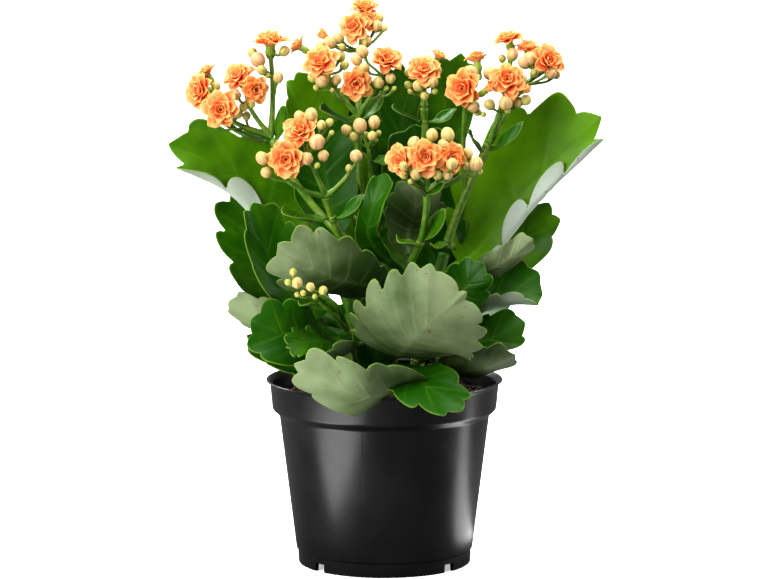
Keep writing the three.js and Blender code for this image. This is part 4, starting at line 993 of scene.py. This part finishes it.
def petal(length, startSlope, endSlope, halfWidth, rng):
    # a thin closed petal: x outwards, y across, z along the flower's axis; lengths are shares of its radius
    f = petalForm
    v = np.array(f["rows"])
    u = np.linspace(-1, 1, f["columns"])
    slope = np.radians(startSlope + (endSlope - startSlope) * v)
    step = length * np.diff(v)
    x = np.concatenate([[0], np.cumsum(np.cos(slope[:-1]) * step)])
    z = np.concatenate([[0], np.cumsum(np.sin(slope[:-1]) * step)])
    claw = 0.36 + 0.64 * np.sin(math.pi / 2 * np.clip(v / 0.62, 0, 1))
    tip = np.clip(1 - (np.clip(v - 0.58, 0, 1) / 0.43)**2, 0.01, 1)**0.72
    spread = halfWidth * length * claw * tip
    ruffle = f["ruffle"] * np.sin(v * rng.uniform(5, 9) + rng.uniform(0, 6))
    vs, us = np.meshgrid(v, u, indexing="ij")
    lift = f["cup"] * spread[:, None] * us * us + ruffle[:, None] * us * np.abs(us)
    tipPoint = 0.08 * length * (1 - np.abs(us)) * np.clip((vs - 0.9) / 0.1, 0, 1)
    px = x[:, None] - lift * np.sin(slope)[:, None] + tipPoint * np.cos(slope)[:, None]
    pz = z[:, None] + lift * np.cos(slope)[:, None] + tipPoint * np.sin(slope)[:, None]
    py = spread[:, None] * us
    out = np.stack([-np.sin(slope), 0 * slope, np.cos(slope)], -1)[:, None]
    sheet = np.stack([px, py, pz], -1)
    half = f["thick"] * (1 - 0.6 * np.abs(us)**3)[..., None] * (1 - 0.4 * vs)[..., None]
    top, low = sheet + out * half, sheet - out * half
    ring = np.concatenate([top, low[:, ::-1]], 1)
    faces = closedFaces(len(v), 2 * f["columns"])
    rim = np.maximum(np.abs(us)**3, vs**4)
    marks = ([vs, vs], [rim, rim], [0 * vs, 0 * vs + 1])  # reach, rim, back
    return ring.reshape(-1, 3), faces, *(np.concatenate(pair, 1).ravel() for pair in marks)


def setOn(points, centre, axis, scale, spin=0.0):  # stand local points on an axis through a centre
    side, other = frameAbout(axis)
    c, s = math.cos(spin), math.sin(spin)
    points = np.asarray(points)
    x = points[:, 0] * c - points[:, 1] * s
    y = points[:, 0] * s + points[:, 1] * c
    return centre + scale * (np.outer(x, side) + np.outer(y, other) + np.outer(points[:, 2], unit(axis)))


def addFlower(petals, greens, flower, rng, closed=0.0):  # closed: degrees that the petals stand up
    centre, radius, axis = np.array(flower[:3], float), flower[3], unit(flower[4:7])
    tone = rng.uniform(0.2, 0.8)
    openness = rng.uniform(-6, 6) + (14 if radius < 7 else 0) + closed
    for layer, (count, length, first, last, width) in enumerate(whorls):
        start = 0.16 - 0.022 * layer
        phase = rng.uniform(0, 6.28)
        for k in range(count):
            grow = rng.uniform(0.86, 1.08)
            points, faces, reach, rim, back = petal(
                length * 0.92 * grow, first + openness + rng.uniform(-8, 8),
                last + openness + rng.uniform(-16, 16), width * rng.uniform(0.86, 1.12), rng)
            points = points + [start, 0, -0.30 + 0.05 * layer]
            turn = phase + 2 * math.pi * (k + rng.uniform(-0.12, 0.12)) / count
            points = setOn(points, centre, axis, radius, turn)
            reach = reach * (1 - 0.06 * layer) + 0.12 * (layer > 3)
            shade = np.clip(tone + rng.uniform(-0.15, 0.15), 0, 1)
            petals.add(points, faces, reach=reach, rim=rim, back=back, tone=shade)
    grid, faces = lathe(petalForm["throat"], segments=14)
    greens.add(setOn(grid, centre, axis, radius), faces, tone=0.95)
    addSepals(greens, centre - axis * radius * 0.98, axis, radius * 0.34, rng)
    return centre - axis * radius * 0.95


def addSepals(greens, foot, axis, size, rng):  # small pointed leaves under a flower or bud
    spin = rng.uniform(0, 6)
    for k in range(stalk["sepals"]):
        points, faces, *_ = petal(1.5, 40, 95, 0.42, rng)
        points = setOn(points + [0.1, 0, 0], foot, axis, size, spin + k * 2 * math.pi / stalk["sepals"])
        greens.add(points, faces, tone=rng.uniform(0.4, 0.8))
    grid, faces = lathe(petalForm["cupLine"], segments=10)
    greens.add(setOn(grid, foot, axis, size), faces, tone=0.6)


def addBud(buds, greens, bud, axis, rng):  # overlapping petals wound round a rounded bud
    centre, radius = np.array(bud[:3], float), bud[3] * stalk["budScale"]
    f = budForm
    rows, columns = f["rows"], f["columns"]
    tall = rng.uniform(*f["tall"])
    lat = np.linspace(0.04, 0.985, rows) * math.pi
    lon = np.arange(columns) * 2 * math.pi / columns
    latitude, longitude = np.meshgrid(lat, lon, indexing="ij")
    height = latitude / math.pi  # 0 at the foot, 1 at the crown
    winding = (f["petals"] * longitude / (2 * math.pi) + f["twist"] * height) % 1
    step = np.clip(winding / 0.85, 0, 1)
    fullness = 0.9 + 0.13 * step * np.clip(np.sin(latitude), 0.1, 1)
    across = fullness * np.sin(latitude)
    points = np.stack([across * np.cos(longitude), across * np.sin(longitude), -tall * np.cos(latitude)], -1)
    points = points.reshape(-1, 3)
    seam = np.clip(1 - np.minimum(winding, 1 - winding) / f["seam"], 0, 1)
    ripe = np.clip((radius - 1.5) / 3, 0, 1)
    points = setOn(points, centre, axis, radius, rng.uniform(0, 6))
    tone = np.clip(0.15 + 0.75 * ripe + rng.uniform(-0.15, 0.15), 0, 1)
    buds.add(points, closedFaces(rows, columns), height=height.ravel(), seam=seam.ravel(), tone=tone)
    foot = centre - axis * radius
    addSepals(greens, foot, axis, radius * 0.5, rng)
    return foot


def stalkFoot(head, tip):  # where a flower's own stalk leaves the branches
    places = [np.array(head["hub"], float)]
    for branch in head.get("branches", []):
        spots, _ = smoothCurve([head["hub"]] + branch, np.array([0.4, 0.7, 1.0]))
        places.extend(spots)
    return min(places, key=lambda spot: np.linalg.norm(spot - tip) + 3 * max(0, spot[2] + 3 - tip[2]))


def pedicel(greens, foot, tip, axis, rng):  # a thin stalk that bends into the flower's axis
    gap = np.linalg.norm(tip - foot)
    middle = foot + (tip - foot) * 0.45 + np.array([0, 0, -0.06 * gap])
    near = tip - unit(axis) * 0.25 * gap
    radii = [stalk["pedicel"] * share for share in (1.25, 1, 1, 1.5)]
    path = [foot, middle, near, tip + unit(axis) * 0.4]
    greens.add(*tubeGrid(path, radii, sides=8, steps=12), tone=rng.uniform(0.45, 0.75))


def makeHead(name, head, index):
    rng = np.random.default_rng(500 + index)
    title = titleOf(name, 2)
    petals = Heap(["reach", "rim", "tone", "back"])
    buds = Heap(["height", "seam", "tone"])
    greens = Heap(["tone", "age"])
    for branch in head.get("branches", []):
        radii = [stalk["branch"] * share for share in (1.4, 1.05, 0.95, 0.8)]
        shoot = tubeGrid([head["hub"]] + branch, radii, sides=12, steps=36, ridges=0.04)
        greens.add(*shoot, tone=rng.uniform(0.4, 0.6))
    hub = np.array(head["hub"], float)
    knot = [hub - [0, 0, 1.6], hub, hub + [0, 0, 1.6]]
    greens.add(*tubeGrid(knot, [1.3, 2.0, 1.0], sides=12, steps=8), tone=0.5)
    for flower in head.get("flowers", []):
        foot = stalkFoot(head, np.array(flower[:3], float) - unit(flower[4:7]) * flower[3] * 0.9)
        base = addFlower(petals, greens, flower, rng)
        pedicel(greens, foot, base, flower[4:7], rng)
    for bud in head["buds"]:
        tip = np.array(bud[:3], float)
        foot = stalkFoot(head, tip)
        axis = unit(unit(tip - foot) + np.array([0, 0, 0.35]) + rng.uniform(-0.15, 0.15, 3))
        if bud[3] >= stalk["openingBud"]:  # petals just starting to part
            base = addFlower(petals, greens, (*bud[:3], bud[3] * 1.15, *axis), rng, closed=44.0)
        else:
            base = addBud(buds, greens, bud, axis, rng)
        pedicel(greens, foot, base, axis, rng)
    buds.piece("buds" + title, budSkin, node=name, slot="flower")
    greens.piece("stalks" + title, stemSkin, slot="stem")
    if head.get("flowers"):
        petals.piece("petals" + title, petalSkin, slot="flower")
    if head.get("bracts"):
        addBracts("bracts" + title, [head["hub"]] + head["branches"][0], head["bracts"], rng)


for index, (name, head) in enumerate(flowerHeads.items()):
    makeHead(name, head, index)
print("flower heads made")


# the studio: pale floor, soft light, camera

studio = {
    "floorRadius": 7.0,
    "eye": (0.0, -1.743, 0.377), "aim": (0.0008, 0.0, 0.1393), "lens": 162.3, "sensor": 36,
    "worldLight": 0.22, "worldShown": 1.0,
    "lamps": {  # place, aim, size, power
        "windowLeft": ((-1.05, -1.05, 0.62), (0, 0, 0.15), (1.15, 1.1), 30),
        "lowCard": ((-0.14, -0.15, 0.004), (-0.14, -0.15, 1), (0.13, 0.18), 0.36),
        "lowStrip": ((0.18, 0.005, 0.004), (0.18, 0.005, 1), (0.24, 0.05), 0.13),
        "overhead": ((0.2, -0.2, 2.3), (0, 0, 0.2), (1.8, 1.8), 68),
        "stripRight": ((1.7, 0.35, 0.6), (0, 0, 0.12), (0.45, 1.1), 20),
        "panelBehind": ((-1.1, 1.4, 1.5), (0, 0, 0.15), (1.2, 1.2), 52),
    },
}


def makeFloor():  # pale, glowing with painted light for the camera: brighter further out so that no horizon shows, dimmer near the middle as a painted shadow under the pot
    heap = Heap([])
    reach = studio["floorRadius"] / mm
    ring = [(reach * math.cos(a), reach * math.sin(a), 0) for a in np.linspace(0, 2 * math.pi, 64, False)]
    heap.add(ring, [tuple(range(64))])
    b = skinBoard("paleFloor")
    distance = b.node("ShaderNodeVectorMath", {"operation": "LENGTH"}, {0: b.place}, out="Value")
    # painted shadow: the floor's own glow is dimmer near the pot and full further out
    glow = b.mix(b.fade(distance, 0.05, 0.7), (0.42, 0.42, 0.42, 1), (0.95, 0.95, 0.95, 1))
    seen = b.node("ShaderNodeBsdfPrincipled", None, {
        "Base Color": (0.9, 0.9, 0.9, 1), "Roughness": 0.9, "Emission Color": glow, "Emission Strength": 1.0})
    lit = b.node("ShaderNodeBsdfDiffuse", None, {"Color": (0.1, 0.1, 0.1, 1)})
    rays = b.node("ShaderNodeLightPath", out="Is Camera Ray")
    both = b.node("ShaderNodeMixShader", None, {0: rays, 1: lit, 2: seen})
    b.node("ShaderNodeOutputMaterial", None, {"Surface": both})
    heap.piece("floor", b.owner)


def pointAt(thing, place, aim):
    thing.location = place
    thing.rotation_euler = (Vector(aim) - Vector(place)).to_track_quat("-Z", "Y").to_euler()


def makeLight():
    for name, (place, aim, size, power) in studio["lamps"].items():
        data = bpy.data.lights.new(name, "AREA")
        data.shape = "RECTANGLE"
        data.size, data.size_y = size
        data.energy = power
        lamp = bpy.data.objects.new(name, data)
        lamp.visible_camera = False
        bpy.context.scene.collection.objects.link(lamp)
        pointAt(lamp, place, aim)
    b = Board(bpy.data.worlds.new("studioWorld"))
    rays = b.node("ShaderNodeLightPath", out="Is Camera Ray")
    soft, shown = (b.node("ShaderNodeBackground", None, {"Color": (1, 1, 1, 1), "Strength": studio[key]})
                   for key in ("worldLight", "worldShown"))
    both = b.node("ShaderNodeMixShader", None, {0: rays, 1: soft, 2: shown})
    b.node("ShaderNodeOutputWorld", None, {"Surface": both})
    bpy.context.scene.world = b.owner
    bpy.context.scene.view_settings.view_transform = "Standard"
    bpy.context.scene.view_settings.look = "Medium High Contrast"


def makeCamera():
    data = bpy.data.cameras.new("camera")
    data.lens = studio["lens"]
    data.sensor_width = studio["sensor"]
    camera = bpy.data.objects.new("camera", data)
    bpy.context.scene.collection.objects.link(camera)
    pointAt(camera, studio["eye"], studio["aim"])
    bpy.context.scene.camera = camera


makeFloor()
makeLight()
makeCamera()
print("studio made")
